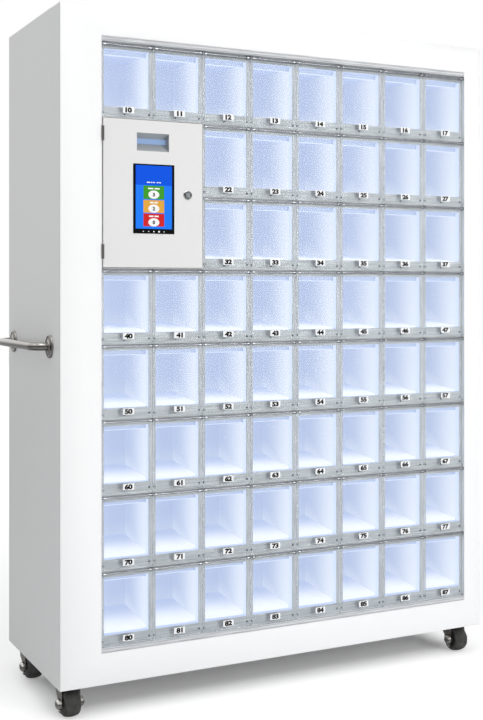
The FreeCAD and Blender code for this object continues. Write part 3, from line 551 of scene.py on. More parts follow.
wall_base, wall_glow = (0.36, 0.37, 0.39, 1.0), (0.61, 0.645, 0.69, 1.0)
bin_finish("bin_wall", (0.38, 0.435, 0.57, 1.0), wall_base, wall_glow, 0.6, dots=True)
bin_finish("bin_back", (0.36, 0.42, 0.57, 1.0), wall_base, wall_glow, 0.3)
bin_finish("bin_floor", (0.36, 0.42, 0.57, 1.0), (0.38, 0.385, 0.4, 1.0),
           (0.66, 0.68, 0.72, 1.0), 0.0, near=0.03)
bin_finish("bin_ceiling", (0.31, 0.37, 0.53, 1.0), (0.26, 0.28, 0.33, 1.0),
           (0.35, 0.41, 0.56, 1.0), 0.0)
print("bins done")

# %% [markdown]
# ## Clear doors
# A moulded clear door bends the light a little and carries faint flow lines, which the
# grey bars behind it turn into streaks. Real glass in a path tracer also blocks lamps,
# because light is only followed backwards from the eye. Letting shadow rays and
# diffuse rays straight through keeps the bars and the bins behind it lit. The thick
# hinge barrel along a door's head looks greyer than the thin sheet below it, so the
# colour changes at the height of the barrel.

# %% Clear door finish
clear, barrel_tint = (0.96, 0.975, 0.985, 1.0), (0.8, 0.81, 0.83, 1.0)
barrel_foot = (0.058, 0.046)  # as shares of the cell's height
tree, shader = finish("clear_door", Base_Color=clear, Transmission_Weight=1.0, IOR=1.14,
                      Specular_IOR_Level=0.3, Roughness=0.02)
drop = maths(tree, "SUBTRACT", row_edge(0), parts_of(tree)["Z"])
below_edge = maths(tree, "FRACT", maths(tree, "DIVIDE", drop, cell_height))
barrel = between(tree, below_edge, *barrel_foot)
flow = grain(tree, (4.0, 10.0, 26.0), 6.0, 3.0)
put(tree, shader, Base_Color=blended(tree, barrel, clear, barrel_tint),
    Normal=bumped(tree, flow, 0.0003))
rays = tree.nodes.new("ShaderNodeLightPath").outputs
straight = maths(tree, "MAXIMUM", rays["Is Shadow Ray"], rays["Is Diffuse Ray"])
through = added(tree, "ShaderNodeBsdfTransparent", Color=clear)
put(tree, tree.nodes["Material Output"],
    Surface=either(tree, straight, shader.outputs[0], through.outputs[0]))
print("clear door done")

# %% [markdown]
# ## Things that glow
# The lamp lens, the scanner's window and the touch screen give off their own light. Each
# is a plain shader with its colour in Emission. The lens glows all round. The others
# glow only where they face out: their backs are dark, which shows once the control door
# is open. The screen's strength is one, so that its blues and its three tiles keep the
# colours that they are given here.

# %% Glowing finishes
dark_back = (0.02, 0.02, 0.021, 1.0)
glows = (
    # name, base, glow, strength, gloss
    ("lamp_lens", (0.35, 0.37, 0.42), (0.5, 0.56, 0.7), 1.0, 0.4),
    ("scanner_glass", (0.1, 0.15, 0.25), (0.36, 0.5, 0.78), 0.55, 0.1),
    ("screen_field", (0.005, 0.01, 0.03), (0.012, 0.2, 0.95), 1.0, 0.15),
    ("screen_head", (0.005, 0.01, 0.03), (0.0, 0.085, 0.75), 1.0, 0.15),
    ("tile_green", (0.01, 0.02, 0.01), (0.045, 0.31, 0.018), 1.0, 0.15),
    ("tile_amber", (0.02, 0.015, 0.01), (0.76, 0.38, 0.05), 1.0, 0.15),
    ("tile_red", (0.02, 0.01, 0.01), (0.62, 0.012, 0.012), 1.0, 0.15),
    ("screen_white", (0.02, 0.02, 0.02), (1.0, 1.0, 1.0), 0.92, 0.15),
    ("screen_ink", (0.005, 0.005, 0.005), (0.01, 0.01, 0.01), 1.0, 0.15),
)
for name, base, glow, strength, gloss in glows:
    base, glow = (*base, 1.0), (*glow, 1.0)
    tree, shader = finish(name, Base_Color=base, Emission_Color=glow,
                          Emission_Strength=strength, Specular_IOR_Level=0.04)
    if name != "lamp_lens":
        faces_out = between(tree, parts_of(tree, "Normal")["Y"], -0.4, -0.8)
        put(tree, shader, Base_Color=blended(tree, faces_out, dark_back, base),
            Emission_Color=blended(tree, faces_out, grey(0.0), glow))
    smear = grain(tree, (1.0, 1.0, 0.5), 40.0, 3.0)
    put(tree, shader, Roughness=maths(tree, "MULTIPLY_ADD", smear, 0.12, gloss))
print(len(glows), "glows")

# %% Lamp cover and circuit board
# Painted light: the lamp housing glows a pale blue, as the lit compartment round it.
finish("lamp_cover", fine_speckle,
       {"Colour": (0.24, 0.26, 0.31, 1.0), "Scale": 500.0, "Contrast": 0.06},
       Emission_Color=(0.32, 0.38, 0.53, 1.0), Emission_Strength=1.0, Specular_IOR_Level=0.2)
tree, shader = finish("board_green", Roughness=0.35)
tracks = maths(tree, "MULTIPLY", grain(tree, (1.0, 1.0, 6.0), 260.0, 0.0), 12.0)
lines = between(tree, maths(tree, "PINGPONG", tracks, 1.0), 0.35, 0.5)
put(tree, shader, Normal=bumped(tree, lines, 0.00004),
    Base_Color=blended(tree, lines, (0.01, 0.09, 0.04, 1.0), (0.02, 0.2, 0.08, 1.0)))
print("cover and board done")

# %% [markdown]
# ## Each frame part gets its finish
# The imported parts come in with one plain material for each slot. Replacing the slots in
# one loop means that no part keeps a flat colour, also where a finer piece will stand
# in for it later.

# %% Finishes on the frame's own parts
slot_finish = {  # the other slots have a finish of their own name
    "case_white": "case_paint", "grid_grey": "rail_grey", "bin_white": "bin_wall",
    "latch_grey": "latch_plastic", "steel_rod": "rod_steel", "hinge_ear": "ear_plastic",
    "bay_steel": "bay_paint", "hinge_steel": "hinge_black", "pocket_grey": "pocket_paint",
    "window_blue": "scanner_glass", "bezel_black": "bezel_plastic",
    "screen_blue": "screen_field", "lock_chrome": "lock_nickel", "plug_steel": "lock_core",
    "supply_metal": "supply_zinc", "inlet_black": "inlet_plastic",
    "handle_steel": "polished_bar", "flange_steel": "polished_flange",
    "plate_dark": "caster_top", "fork_steel": "fork_plate", "wheel_black": "rubber_tyre",
    "pedal_black": "pedal_plastic", "screw_steel": "screw_zinc",
}
node_slot = {entry["node"]: entry["material_slot"] for entry in frame["record"]["subparts"]}
for name, part in frame["nodes"].items():
    slot = node_slot[name]
    part.data.materials.clear()
    part.data.materials.append(finishes[slot_finish.get(slot, slot)])
for name, kind in (("grid_mullions", "upright_grey"), ("compartment_back", "bin_back"),
                   ("compartment_shelves", "bin_floor"), ("compartment_ceilings", "bin_ceiling")):
    frame["nodes"][name].data.materials[0] = finishes[kind]
print(len(frame["nodes"]), "parts finished")

# %% [markdown]
# ## Floor, world and lamps
# A plain pale floor and a white surround show the object without competing with it. The
# floor keeps the soft shadow under the cabinet. From just inside the edge of the case
# outwards, a touch of light that only the eye sees lifts the floor to white, so that it
# meets the world without a seam. That lift fades out towards the case, so the darker
# floor round the case is partly painted shadow. The world is white for the eye, for
# mirrors and for glass, and dimmer as a lamp, so that paint keeps its shade. A large soft
# lamp in front to the right leaves the left side panel a step darker than the front.
# Polished parts don't mirror it, because a large white square would wash them out. A
# second one above lights the top. On the left a faint one near the floor lights the
# casters, and a small one high up lays the soft shadow of the handle on the side panel.

# %% Floor
half = 14.0
# Painted shadow: the eye-only lift is nil from just inside the case's edge and grows outwards,
# which darkens the floor round the case.
lifted_beyond = (("X", 0.6), ("Y", 0.104))
near_lift, far_lift = (0.0, 0.13, 0.0, 0.46), (0.5, 4.0, 0.0, 0.24)  # distances, lifts
floor = linked("floor", bpy.data.meshes.new("floor"))
floor.data.from_pydata([(-half, -half, 0.0), (half, -half, 0.0), (half, half, 0.0),
                        (-half, half, 0.0)], [], [(0, 1, 2, 3)])
tree, shader = finish("studio_floor", Base_Color=grey(0.86), Roughness=0.8,
                      Specular_IOR_Level=0.0, Emission_Color=grey(1.0))
axes = parts_of(tree)
outside = []
for axis, half_size in lifted_beyond:
    reach = maths(tree, "SUBTRACT", maths(tree, "ABSOLUTE", axes[axis]), half_size)
    outside.append(maths(tree, "POWER", maths(tree, "MAXIMUM", reach, 0.0), 2.0))
away = maths(tree, "SQRT", maths(tree, "ADD", *outside))
lift = maths(tree, "ADD", between(tree, away, *near_lift), between(tree, away, *far_lift))
to_eye = tree.nodes.new("ShaderNodeLightPath").outputs["Is Camera Ray"]
put(tree, shader, Emission_Strength=maths(tree, "MULTIPLY", to_eye, lift))
floor.data.materials.append(finishes["studio_floor"])
floor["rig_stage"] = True
print("floor ready")

# %% World
world = bpy.data.worlds.new("studio")
bpy.context.scene.world = world
world.use_nodes = True
tree = world.node_tree
tree.nodes.clear()
rays = tree.nodes.new("ShaderNodeLightPath").outputs
seen = maths(tree, "MAXIMUM", rays["Is Camera Ray"],
             maths(tree, "MAXIMUM", rays["Is Glossy Ray"], rays["Is Transmission Ray"]))
shown = added(tree, "ShaderNodeBackground", Color=grey(1.0), Strength=1.0)
lighting = added(tree, "ShaderNodeBackground", Color=(0.98, 0.99, 1.0, 1.0), Strength=0.42)
added(tree, "ShaderNodeOutputWorld",
      Surface=either(tree, seen, lighting.outputs[0], shown.outputs[0]))
print("world ready")

# %% Soft lamps
lamps = (
    # name, place, aim, size, power
    ("key", (1.6, -4.6, 1.35), (0.1, -0.2, 0.95), 2.6, 119.0),
    ("top", (-0.4, -1.2, 4.6), (0.0, 0.0, 1.0), 3.0, 50.0),
    ("side", (-4.6, -1.6, 0.4), (-0.7, 0.0, 0.3), 2.0, 10.0),
    ("above left", (-3.9, 0.3, 5.0), (-0.7, 0.0, 1.0), 0.9, 6.0),
)
for name, place, aim, size, power in lamps:
    data = bpy.data.lights.new(name, "AREA")
    data.shape = "SQUARE"
    data.size = size
    data.energy = power
    lamp = linked(name, data)
    lamp.location = place
    lamp.rotation_euler = (Vector(aim) - Vector(place)).to_track_quat("-Z", "Y").to_euler()
    lamp.visible_glossy = name != "key"
print(len(lamps), "lamps")

# %% [markdown]
# ## Helpers for pieces
# `shown_piece` puts a mesh into the scene as a piece. `softened` copies a frame part,
# merges its loose triangles into clean faces and rounds its edges by a small bevel, which
# is what catches the light on real sheet metal. `settle` runs a piece's modifiers and
# keeps the result as a plain mesh. The mesh helpers below them draw outlines and walls,
# and keep, join, turn and move what is drawn.

# %% Piece helpers
def smoothed(mesh, angle=35.0):
    """Smooth shading, with edges sharper than angle left crisp."""
    mesh.polygons.foreach_set("use_smooth", [True] * len(mesh.polygons))
    mesh.set_sharp_from_angle(angle=radians(angle))


def shown_piece(name, mesh, *kinds):
    """An object at the origin with that mesh and those finishes."""
    piece = linked(name, mesh)
    for kind in kinds:
        mesh.materials.append(finishes[kind])
    return piece


def evaluated(thing):
    """What an object and its modifiers make, as a new plain mesh."""
    graph = bpy.context.evaluated_depsgraph_get()
    graph.update()
    return bpy.data.meshes.new_from_object(thing.evaluated_get(graph))


def settle(piece):
    """Keep what the piece's modifiers make as its own plain mesh, and remove them."""
    mesh = evaluated(piece)
    piece.modifiers.clear()
    old, piece.data = piece.data, mesh
    bpy.data.meshes.remove(old)
    mesh.name = piece.name
    return piece


def bevelled(piece, width, segments=2, angle=30.0):
    """Round every edge sharper than angle."""
    rounding = piece.modifiers.new("rounding", "BEVEL")
    rounding.width = width
    rounding.segments = segments
    rounding.limit_method = "ANGLE"
    rounding.angle_limit = radians(angle)
    rounding.use_clamp_overlap = True
    rounding.harden_normals = True
    return piece


def merged_copy(node):
    """A frame part's mesh as clean faces: doubles merged and flat areas joined."""
    mesh = frame["nodes"][node].data.copy()
    mesh.materials.clear()
    work = bmesh.new()
    work.from_mesh(mesh)
    bmesh.ops.remove_doubles(work, verts=work.verts, dist=0.00001)
    bmesh.ops.dissolve_limit(work, angle_limit=radians(0.5), verts=work.verts, edges=work.edges)
    work.to_mesh(mesh)
    work.free()
    return mesh


def softened(node, kind, width):
    """A finer copy of a frame part that stands in for it on the same body."""
    piece = shown_piece(node + "_skin", merged_copy(node), kind)
    smoothed(piece.data)
    if width:
        settle(bevelled(piece, width))
    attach(piece, frame["nodes"][node]["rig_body"])
    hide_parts(node)
    return piece


print("piece helpers ready")


# %% Mesh helpers
def kept(work, name):
    """A new mesh of what a bmesh holds, which is then freed."""
    mesh = bpy.data.meshes.new(name)
    work.to_mesh(mesh)
    work.free()
    return mesh


def joined(name, meshes):
    """One new mesh of several, which are removed."""
    work = bmesh.new()
    for mesh in meshes:
        work.from_mesh(mesh)
        bpy.data.meshes.remove(mesh)
    return kept(work, name)


def laid(mesh, where=(0.0, 0.0, 0.0), angle=0.0, axis="Y"):
    """Turn a mesh about an axis through the origin, then move it."""
    mesh.transform(Matrix.Translation(where) @ Matrix.Rotation(angle, 4, axis))
    return mesh


def rectangle(left, right, low, high):
    """Corner points of a rectangle, going anticlockwise."""
    return [(left, low), (right, low), (right, high), (left, high)]


def ellipse(half_width, half_height, steps):
    """Corner points of an ellipse round the origin, going anticlockwise."""
    turns = [2.0 * pi * i / steps for i in range(steps)]
    return [(half_width * cos(turn), half_height * sin(turn)) for turn in turns]


def rounded_outline(width, height, radius, steps=4):
    """Corner points of a rounded rectangle round the origin, going anticlockwise."""
    outline = []
    for quarter, (sx, sz) in enumerate(((1, 1), (-1, 1), (-1, -1), (1, -1))):
        for step in range(steps + 1):
            turn = (quarter + step / steps) * pi / 2.0
            outline.append((sx * (width / 2.0 - radius) + radius * cos(turn),
                            sz * (height / 2.0 - radius) + radius * sin(turn)))
    return outline


def walled(work, near, far):
    """Add the quads of a wall between two rings of as many points."""
    corners = zip(near, near[1:] + near[:1], far[1:] + far[:1], far)
    return [work.faces.new(quad) for quad in corners]


def slab(work, outline, middle, y_front, y_back, material=0):
    """Add a flat slab that faces -Y: a front, a back and a rim."""
    near, far = [[work.verts.new((middle[0] + x, y, middle[1] + z)) for x, z in outline]
                 for y in (y_front, y_back)]
    for face in [work.faces.new(near), work.faces.new(far[::-1])] + walled(work, far, near):
        face.material_index = material


print("mesh helpers ready")

# %% [markdown]
# ## The folded front
# The front of the case is one welded and painted skin: a flat face with a large opening,
# folded back round both sides and the top, and folded in round the opening. It is drawn
# as a single surface without thickness. A bevel gives the folds their radius, and
# Solidify then gives the sheet its wall, so the inner and outer radius agree.

# %% Folded front
sheet, fold_radius = 0.0015, 0.002
wrap_depth, lip_depth = 0.080, 0.018
case_low, case_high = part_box("front_frame")
grid_right = grid_left + columns * cell_width
front_edges = {
    "outer": rectangle(case_low.x, case_high.x, case_low.z, case_high.z),
    "inner": rectangle(grid_left, grid_right, trims_low.z, trims_high.z),
}
rings = [(front, "outer"), (front + wrap_depth, "outer"),
         (front, "inner"), (front + lip_depth, "inner")]
points = [(x, y, z) for y, ring in rings for x, z in front_edges[ring]]
faces = [(i, (i + 1) % 4, 8 + (i + 1) % 4, 8 + i) for i in range(4)]
faces += [(4 + i, 4 + (i + 1) % 4, (i + 1) % 4, i) for i in (1, 2, 3)]
faces += [(8 + i, 8 + (i + 1) % 4, 12 + (i + 1) % 4, 12 + i) for i in range(4)]
skin = bpy.data.meshes.new("case_front")
skin.from_pydata(points, [], faces)
case_front = shown_piece("case_front", skin, "case_paint")
bevelled(case_front, fold_radius, 3, 60.0)
wall = case_front.modifiers.new("wall", "SOLIDIFY")
wall.thickness = sheet
wall.offset = -1.0
settle(case_front)
smoothed(case_front.data)
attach(case_front, "cabinet")
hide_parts("front_frame")
print("case front", len(case_front.data.polygons), "faces")

# %% [markdown]
# ## Panels, bars and brackets
# The other sheet and bar parts have the right shape already and only lack the small
# radius of a real edge. One table names each of them, its finish and its radius.

# %% Softened parts
for node, kind, width in (
        ("left_side_panel", "case_paint", 0.0006), ("right_side_panel", "case_paint", 0.0006),
        ("top_panel", "case_paint", 0.0006), ("back_panel", "case_paint", 0.0004),
        ("grid_rails", "rail_grey", 0.0008), ("grid_mullions", "upright_grey", 0.0008),
        ("hinge_rods", "rod_steel", 0.0), ("hinge_ears", "ear_plastic", 0.0003),
        ("control_door", "door_paint", 0.0006), ("control_hinges", "hinge_black", 0.0002),
        ("control_hinge_leaves", "hinge_black", 0.0002), ("scanner_pocket", "pocket_paint", 0.0008),
        ("screen_bezel", "bezel_plastic", 0.0004), ("lock_plug", "lock_core", 0.0002),
        ("power_inlet", "inlet_plastic", 0.0006), ("control_bay_box", "bay_paint", 0.0003),
        ("power_supply", "supply_zinc", 0.0012)):
    piece = softened(node, kind, width)
    print(piece.name, len(piece.data.polygons), "faces")

# %% [markdown]
# ## Repeating along a row
# Sixty doors hang on a regular grid, and so do their sleeves, stops and lamps. A Geometry
# Nodes tree is the tidy way. The first tree makes a line of points with a set step,
# places one piece at each, then makes them real and gives them their finish. The piece
# is drawn once, in the first cell, and each point says how far its copy moves. The
# second tree does the same on points that it is given, and can turn each copy.

# %% Tree: repeat along a row
SHAPE, PIECE, FINISH = ("Geometry", "Geometry"), ("Piece", "Object"), ("Finish", "Material")


def chained(tree, *kinds):
    """New nodes whose first sockets are wired one after another."""
    nodes = [tree.nodes.new("GeometryNode" + kind) for kind in kinds]
    for first, second in zip(nodes, nodes[1:]):
        tree.links.new(first.outputs[0], second.inputs[0])
    return nodes


row_tree, take, give = node_group("repeat_along_a_row", (
    SHAPE, PIECE, ("Count", "Int", 8), ("First", "Vector", (0.0, 0.0, 0.0)),
    ("Step", "Vector", (cell_width, 0.0, 0.0)), FINISH), (SHAPE,), "GeometryNodeTree")
line, place, _, paint = chained(row_tree, "MeshLine", "InstanceOnPoints", "RealizeInstances",
                                "SetMaterial")
drawn = added(row_tree, "GeometryNodeObjectInfo", Object=take["Piece"])
put(row_tree, line, Count=take["Count"], Start_Location=take["First"], Offset=take["Step"])
put(row_tree, place, Instance=drawn.outputs["Geometry"])
put(row_tree, paint, Material=take["Finish"])
put(row_tree, give, Geometry=paint.outputs[0])
print(row_tree.name, len(row_tree.nodes), "nodes")

# %% Tree: place on points
spot_tree, take, give = node_group("place_on_points", (
    SHAPE, PIECE, ("Turn Axis", "Vector", (0.0, 1.0, 0.0)), ("Turn", "Float", 0.0),
    ("Seed", "Int", 4), FINISH), (SHAPE,), "GeometryNodeTree")
place, _, paint = chained(spot_tree, "InstanceOnPoints", "RealizeInstances", "SetMaterial")
drawn = added(spot_tree, "GeometryNodeObjectInfo", Object=take["Piece"])
angle = added(spot_tree, "FunctionNodeRandomValue", Seed=take["Seed"])
feed(spot_tree, 0.0, angle.inputs[2])
feed(spot_tree, take["Turn"], angle.inputs[3])
turn = added(spot_tree, "FunctionNodeAxisAngleToRotation", Axis=take["Turn Axis"],
             Angle=angle.outputs[1])
put(spot_tree, place, Points=take["Geometry"], Instance=drawn.outputs["Geometry"],
    Rotation=turn.outputs[0])
put(spot_tree, paint, Material=take["Finish"])
put(spot_tree, give, Geometry=paint.outputs[0])
print(spot_tree.name, len(spot_tree.nodes), "nodes")


# %% Grow helper
def grown(name, tree, points=(), edges=(), **values):
    """A piece made by a tree: points and edges go in, a plain mesh comes out."""
    mesh = bpy.data.meshes.new(name)
    mesh.from_pydata(list(points), list(edges), [])
    piece = linked(name, mesh)
    maker = piece.modifiers.new(tree.name, "NODES")
    maker.node_group = tree
    for item in tree.interface.items_tree:
        label = item.name.replace(" ", "_")
        if item.in_out == "INPUT" and label in values:
            maker[item.identifier] = values[label]
    return settle(piece)


def pattern_object(name, mesh):
    """An object that only serves as the thing a tree repeats."""
    patterns.append(linked(name, mesh))
    return patterns[-1]


patterns = []
print("grow helper ready")

# %% [markdown]
# ## The clear doors
# One door is drawn from the frame's own first door: merged, and rounded along every
# edge as a moulding is. The tree then repeats it along each row. The first door of a
# row and the others of that row swing as separate bodies, so each gets its own mesh.

# %% Door pattern
moulding_radius = 0.0007
door_mesh = merged_copy("door_10")
smoothed(door_mesh)
door_pattern = settle(bevelled(pattern_object("door_pattern", door_mesh), moulding_radius))
print("door pattern", len(door_pattern.data.polygons), "faces")

# %% Door bodies
door_bodies = []
for row in range(rows):
    present = [column for column in range(columns) if not in_bay(row, column)]
    number = 10 * (row + 1)
    if present[0] == 0:
        door_bodies.append(("door_%d" % number, row, 0, 1))
    others = [column for column in present if column > 0]
    name = "doors_%d_to_%d" % (number + others[0], number + others[-1])
    door_bodies.append((name, row, others[0], len(others)))


def first_move(row, column):
    """How far a copy for this cell moves from the pattern, which is drawn in the first cell."""
    return (column * cell_width, 0.0, -row * cell_height)


for body, row, column, count in door_bodies:
    piece = grown(body + "_clear", row_tree, Piece=door_pattern, Count=count,
                  First=first_move(row, column), Finish=finishes["clear_door"])
    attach(piece, body)
    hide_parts(body)
print(len(door_bodies), "door bodies")

# %% [markdown]
# ## Number plates
# Each door has a white plate on its finger pull with a bold number. The plate is a
# rounded slab. The number is real text, thickened by its offset to look bold, turned
# into a thin solid, widened a little and stood up on the plate.

# %% Plate and digits
pull_inset = 0.0035
pull_front = front - pull_inset
plate_width, plate_height, plate_depth = 0.033, 0.0172, 0.0004
foot_to_plate = 0.0213
capital_share, boldness, letter_space = 0.73, 0.08, 0.94
digit_height, digit_widening, digit_depth = 0.0128, 1.3, 0.0001


def plate_middle(row, column):
    """X and Z of the middle of a door's number plate."""
    return column_edge(column) + cell_width / 2.0, row_edge(row + 1) + foot_to_plate


def text_mesh(text, height):
    """A bold text as a thin solid, centred on the origin and facing -Y."""
    curve = bpy.data.curves.new("text", "FONT")
    curve.body = text
    curve.size = height / capital_share
    curve.extrude = digit_depth / 2.0
    curve.offset = height * boldness
    curve.space_character = letter_space
    curve.resolution_u = 3
    writing = linked("text", curve)
    mesh = laid(evaluated(writing), angle=pi / 2.0, axis="X")
    bpy.data.objects.remove(writing)
    xs, zs = [[vertex.co[axis] for vertex in mesh.vertices] for axis in (0, 2)]
    return laid(mesh, (-(min(xs) + max(xs)) / 2.0, 0.0, -(min(zs) + max(zs)) / 2.0))


print("plate helpers ready")

# %% Plates on the doors
outline = rounded_outline(plate_width, plate_height, 0.0014)
for body, row, column, count in door_bodies:
    work = bmesh.new()
    digits = []
    for step in range(count):
        x, z = plate_middle(row, column + step)
        slab(work, outline, (x, z), pull_front - plate_depth, pull_front)
        number = text_mesh("%d" % (10 * (row + 1) + column + step), digit_height)
        number.transform(Matrix.Scale(digit_widening, 4, (1.0, 0.0, 0.0)))
        digits.append(laid(number, (x, pull_front - plate_depth - digit_depth / 2.0, z)))
    plates = kept(work, body + "_plates")
    writing = joined(body + "_numbers", digits)
    for mesh, kind in ((plates, "plate_white"), (writing, "digit_black")):
        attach(shown_piece(mesh.name, mesh, kind), body)

# %% [markdown]
# ## Turned and drawn-out shapes
# Round parts, such as caps, stops and wheels, are one profile turned about an axis.
# Long parts, such as lamp housings and trims, are one outline drawn out along X. Two
# small helpers cover both. Each recalculates its normals, because a profile or an
# outline may be listed in either direction.

# %% Turned and drawn-out helpers
def turned(name, profile, steps, loop=False):
    """Turn a profile of (radius, height) about Z; a radius of zero is a pole."""
    work = bmesh.new()
    rings = []
    for radius, height in profile:
        ring = ellipse(radius, radius, steps) if radius else [(0.0, 0.0)]
        rings.append([work.verts.new((x, y, height)) for x, y in ring])
    for near, far in zip(rings, rings[1:] + (rings[:1] if loop else [])):
        if len(near) == len(far) == 1:
            continue
        for i in range(steps):
            corners = [near[i % len(near)], near[(i + 1) % len(near)],
                       far[(i + 1) % len(far)], far[i % len(far)]]
            work.faces.new(list(dict.fromkeys(corners)))
    bmesh.ops.recalc_face_normals(work, faces=work.faces)
    return kept(work, name)


def drawn_out(name, outlines, x0, x1):
    """Draw closed outlines of (y, z) out along X, with capped ends."""
    work = bmesh.new()
    for outline in outlines:
        left, right = [[work.verts.new((x, y, z)) for y, z in outline] for x in (x0, x1)]
        work.faces.new(left[::-1])
        work.faces.new(right)
        walled(work, left, right)
    bmesh.ops.recalc_face_normals(work, faces=work.faces)
    return kept(work, name)


def arc(y, z, radius, start, end, steps=5):
    """Points of an arc about (y, z), from one angle to another, in degrees."""
    turns = [radians(start + (end - start) * i / steps) for i in range(steps + 1)]
    return [(y + radius * cos(turn), z + radius * sin(turn)) for turn in turns]


print("shape helpers ready")

# %% [markdown]
# ## Lamp bars
# A short lamp runs behind the head of each compartment's frame. Its housing is plastic
# with the compartment's light painted on it as a pale blue glow, and below it shows the
# lit edge of the lens, with the bright end of the strip at its right. The bar is drawn
# once in the first cell. A tree places a copy at each of the sixty points, which are
# simply how far each cell is from the first.

# %% Lamp bar patterns
lamp_inset, lamp_depth = 0.0015, 0.008
head_to_top, head_to_foot, lens_height = 0.019, 0.033, 0.0018
lens_radius, lens_side, lens_rise, slack = 0.001, 0.0012, 0.0011, 0.0002
bead_radius, bead_width, bead_inset = 0.0019, 0.0045, 0.0006
lamp_left, lamp_right = grid_left + lamp_inset, grid_left + cell_width - lamp_inset
lamp_top, lamp_foot = row_edge(0) - head_to_top, row_edge(0) - head_to_foot
lamp_back, lens_top = bar_back + lamp_depth, lamp_foot + lens_height
housing = drawn_out("lamp_housing", [rectangle(bar_back, lamp_back, lens_top, lamp_top)],
                    lamp_left, lamp_right)
housing_pattern = settle(bevelled(pattern_object("lamp_housing", housing), 0.0006))
outline = arc(lamp_back - lens_side, lamp_foot + lens_rise, lens_radius, 0.0, -90.0)
outline += arc(bar_back + lens_side, lamp_foot + lens_rise, lens_radius, -90.0, -180.0)
outline += [(bar_back + slack, lens_top), (lamp_back - slack, lens_top)]
lens = drawn_out("lamp_lens", [outline], lamp_left + slack, lamp_right - slack)
outline = arc(bar_back - slack, lens_top + lens_height, bead_radius, 90.0, 270.0)
bead = drawn_out("lamp_bead", [outline], lamp_right - bead_width, lamp_right - bead_inset)
lens_pattern = pattern_object("lamp_lens", joined("lamp_lens", [lens, bead]))
print("lamp housing and lens drawn")

# %% Lamp bars in place
cell_moves = [first_move(row, column) for row, column in cells]
for name, pattern, kind in (("lamp_housings", housing_pattern, "lamp_cover"),
                            ("lamp_lenses", lens_pattern, "lamp_lens")):
    piece = grown(name, spot_tree, cell_moves, Piece=pattern, Finish=finishes[kind])
    smoothed(piece.data)
    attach(piece, "cabinet")
    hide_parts("led_strips")
    print(piece.name, len(piece.data.polygons), "faces")

# %% [markdown]
# ## Hinge sleeves
# A short bright steel sleeve is moulded into each end of a door's clear barrel, and the
# thin rod runs through it. It swings with its door, so it belongs to the door's body.
# It is a closed profile turned about its own axis and laid along X.

# %% Hinge sleeves
rods_low, rods_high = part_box("hinge_rods")
hinge_y = (rods_low.y + rods_high.y) / 2.0
rod_radius = 0.002
hinge_drop = grid_top - rods_high.z + rod_radius
sleeve_length, sleeve_inset, sleeve_rim = 0.007, 0.0055, 0.0004
sleeve_bore, sleeve_radius = 0.0021, 0.0034
sleeve = laid(turned("sleeve", [
    (sleeve_bore, 0.0), (0.0030, 0.0), (sleeve_radius, sleeve_rim),
    (sleeve_radius, sleeve_length - sleeve_rim), (0.0030, sleeve_length),
    (sleeve_bore, sleeve_length)], 20, loop=True), angle=pi / 2.0)
sleeve_pattern = pattern_object("sleeve", sleeve)
for body, row, column, count in door_bodies:
    edges = [column_edge(column + step) for step in range(count)]
    spots = [(x, hinge_y, row_edge(row) - hinge_drop) for edge in edges
             for x in (edge + sleeve_inset, edge + cell_width - sleeve_inset - sleeve_length)]
    piece = grown(body + "_sleeves", spot_tree, spots, Piece=sleeve_pattern,
                  Finish=finishes["sleeve_steel"])
    smoothed(piece.data)
    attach(piece, body)
print("sleeves", round(hinge_drop, 4), "below each row's edge")

# %% [markdown]
# ## Door stops
# Two soft domed stops on each cell's rail keep the door from rattling. They are tiny
# and there are many, so each has only a few faces.

# %% Door stops
bumper_low, bumper_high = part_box("door_bumpers")
stop_radius = 0.003
stop_height = bumper_high.y - bumper_low.y
stop = laid(turned("stop", [
    (0.0, 0.0), (stop_radius, 0.0), (stop_radius, stop_height * 0.35),
    (stop_radius * 0.9, stop_height * 0.75), (stop_radius * 0.55, stop_height * 0.96),
    (0.0, stop_height)], 14), angle=pi / 2.0, axis="X")
stop_pattern = pattern_object("stop", stop)
stop_inset = bumper_low.x + stop_radius - grid_left
stop_rise = bumper_low.z + stop_radius - row_edge(rows)
spots = [(x, bumper_high.y, row_edge(row + 1) + stop_rise) for row, column in cells
         for x in (column_edge(column) + stop_inset, column_edge(column + 1) - stop_inset)]
piece = grown("door_stops", spot_tree, spots, Piece=stop_pattern,
              Finish=finishes["bumper_rubber"])
smoothed(piece.data, 60.0)
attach(piece, "cabinet")
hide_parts("door_bumpers")
print(len(spots), "stops")

# %% [markdown]
# ## Trim strips
# A pale extruded strip closes the opening above and below the doors. Its two fine
# grooves show as thin dark lines along its whole length, so the outline has them.

# %% Trim strips
groove_depth, groove_width = 0.0024, 0.0021
head_groove, foot_groove, edge_cut = 0.0022, 0.0038, 0.0006
trim_front, trim_back = trims_low.y, trims_high.y


def trim_outline(foot, head):
    """The strip's outline from foot to head, with a groove near each edge of its front."""
    outline = [(trim_back, foot), (trim_back, head), (trim_front + edge_cut, head),
               (trim_front, head - edge_cut)]
    for groove in (head - head_groove, foot + foot_groove):
        outline += [(trim_front, groove),
                    (trim_front + groove_depth, groove - groove_width / 2.0),
                    (trim_front, groove - groove_width)]
    return outline + [(trim_front, foot + edge_cut), (trim_front + edge_cut, foot)]


outlines = [trim_outline(trims_low.z, row_edge(rows)), trim_outline(row_edge(0), trims_high.z)]
strips = drawn_out("trim_strips", outlines, trims_low.x, trims_high.x)
piece = shown_piece("trim_strips", strips, "trim_grey")
smoothed(piece.data, 20.0)
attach(piece, "cabinet")
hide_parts("trim_bars")
print("trim strips", len(piece.data.polygons), "faces")

# %% [markdown]
# ## The touch screen
# The screen shows a plain dialog: a darker band at its head, three coloured tiles, and
# in each tile a white oval with a figure under a white bar. Everything is a very thin
# slab in front of the lit panel, and the slabs overlap in steps of a tenth of a
# millimetre, so that no two faces lie in one plane.

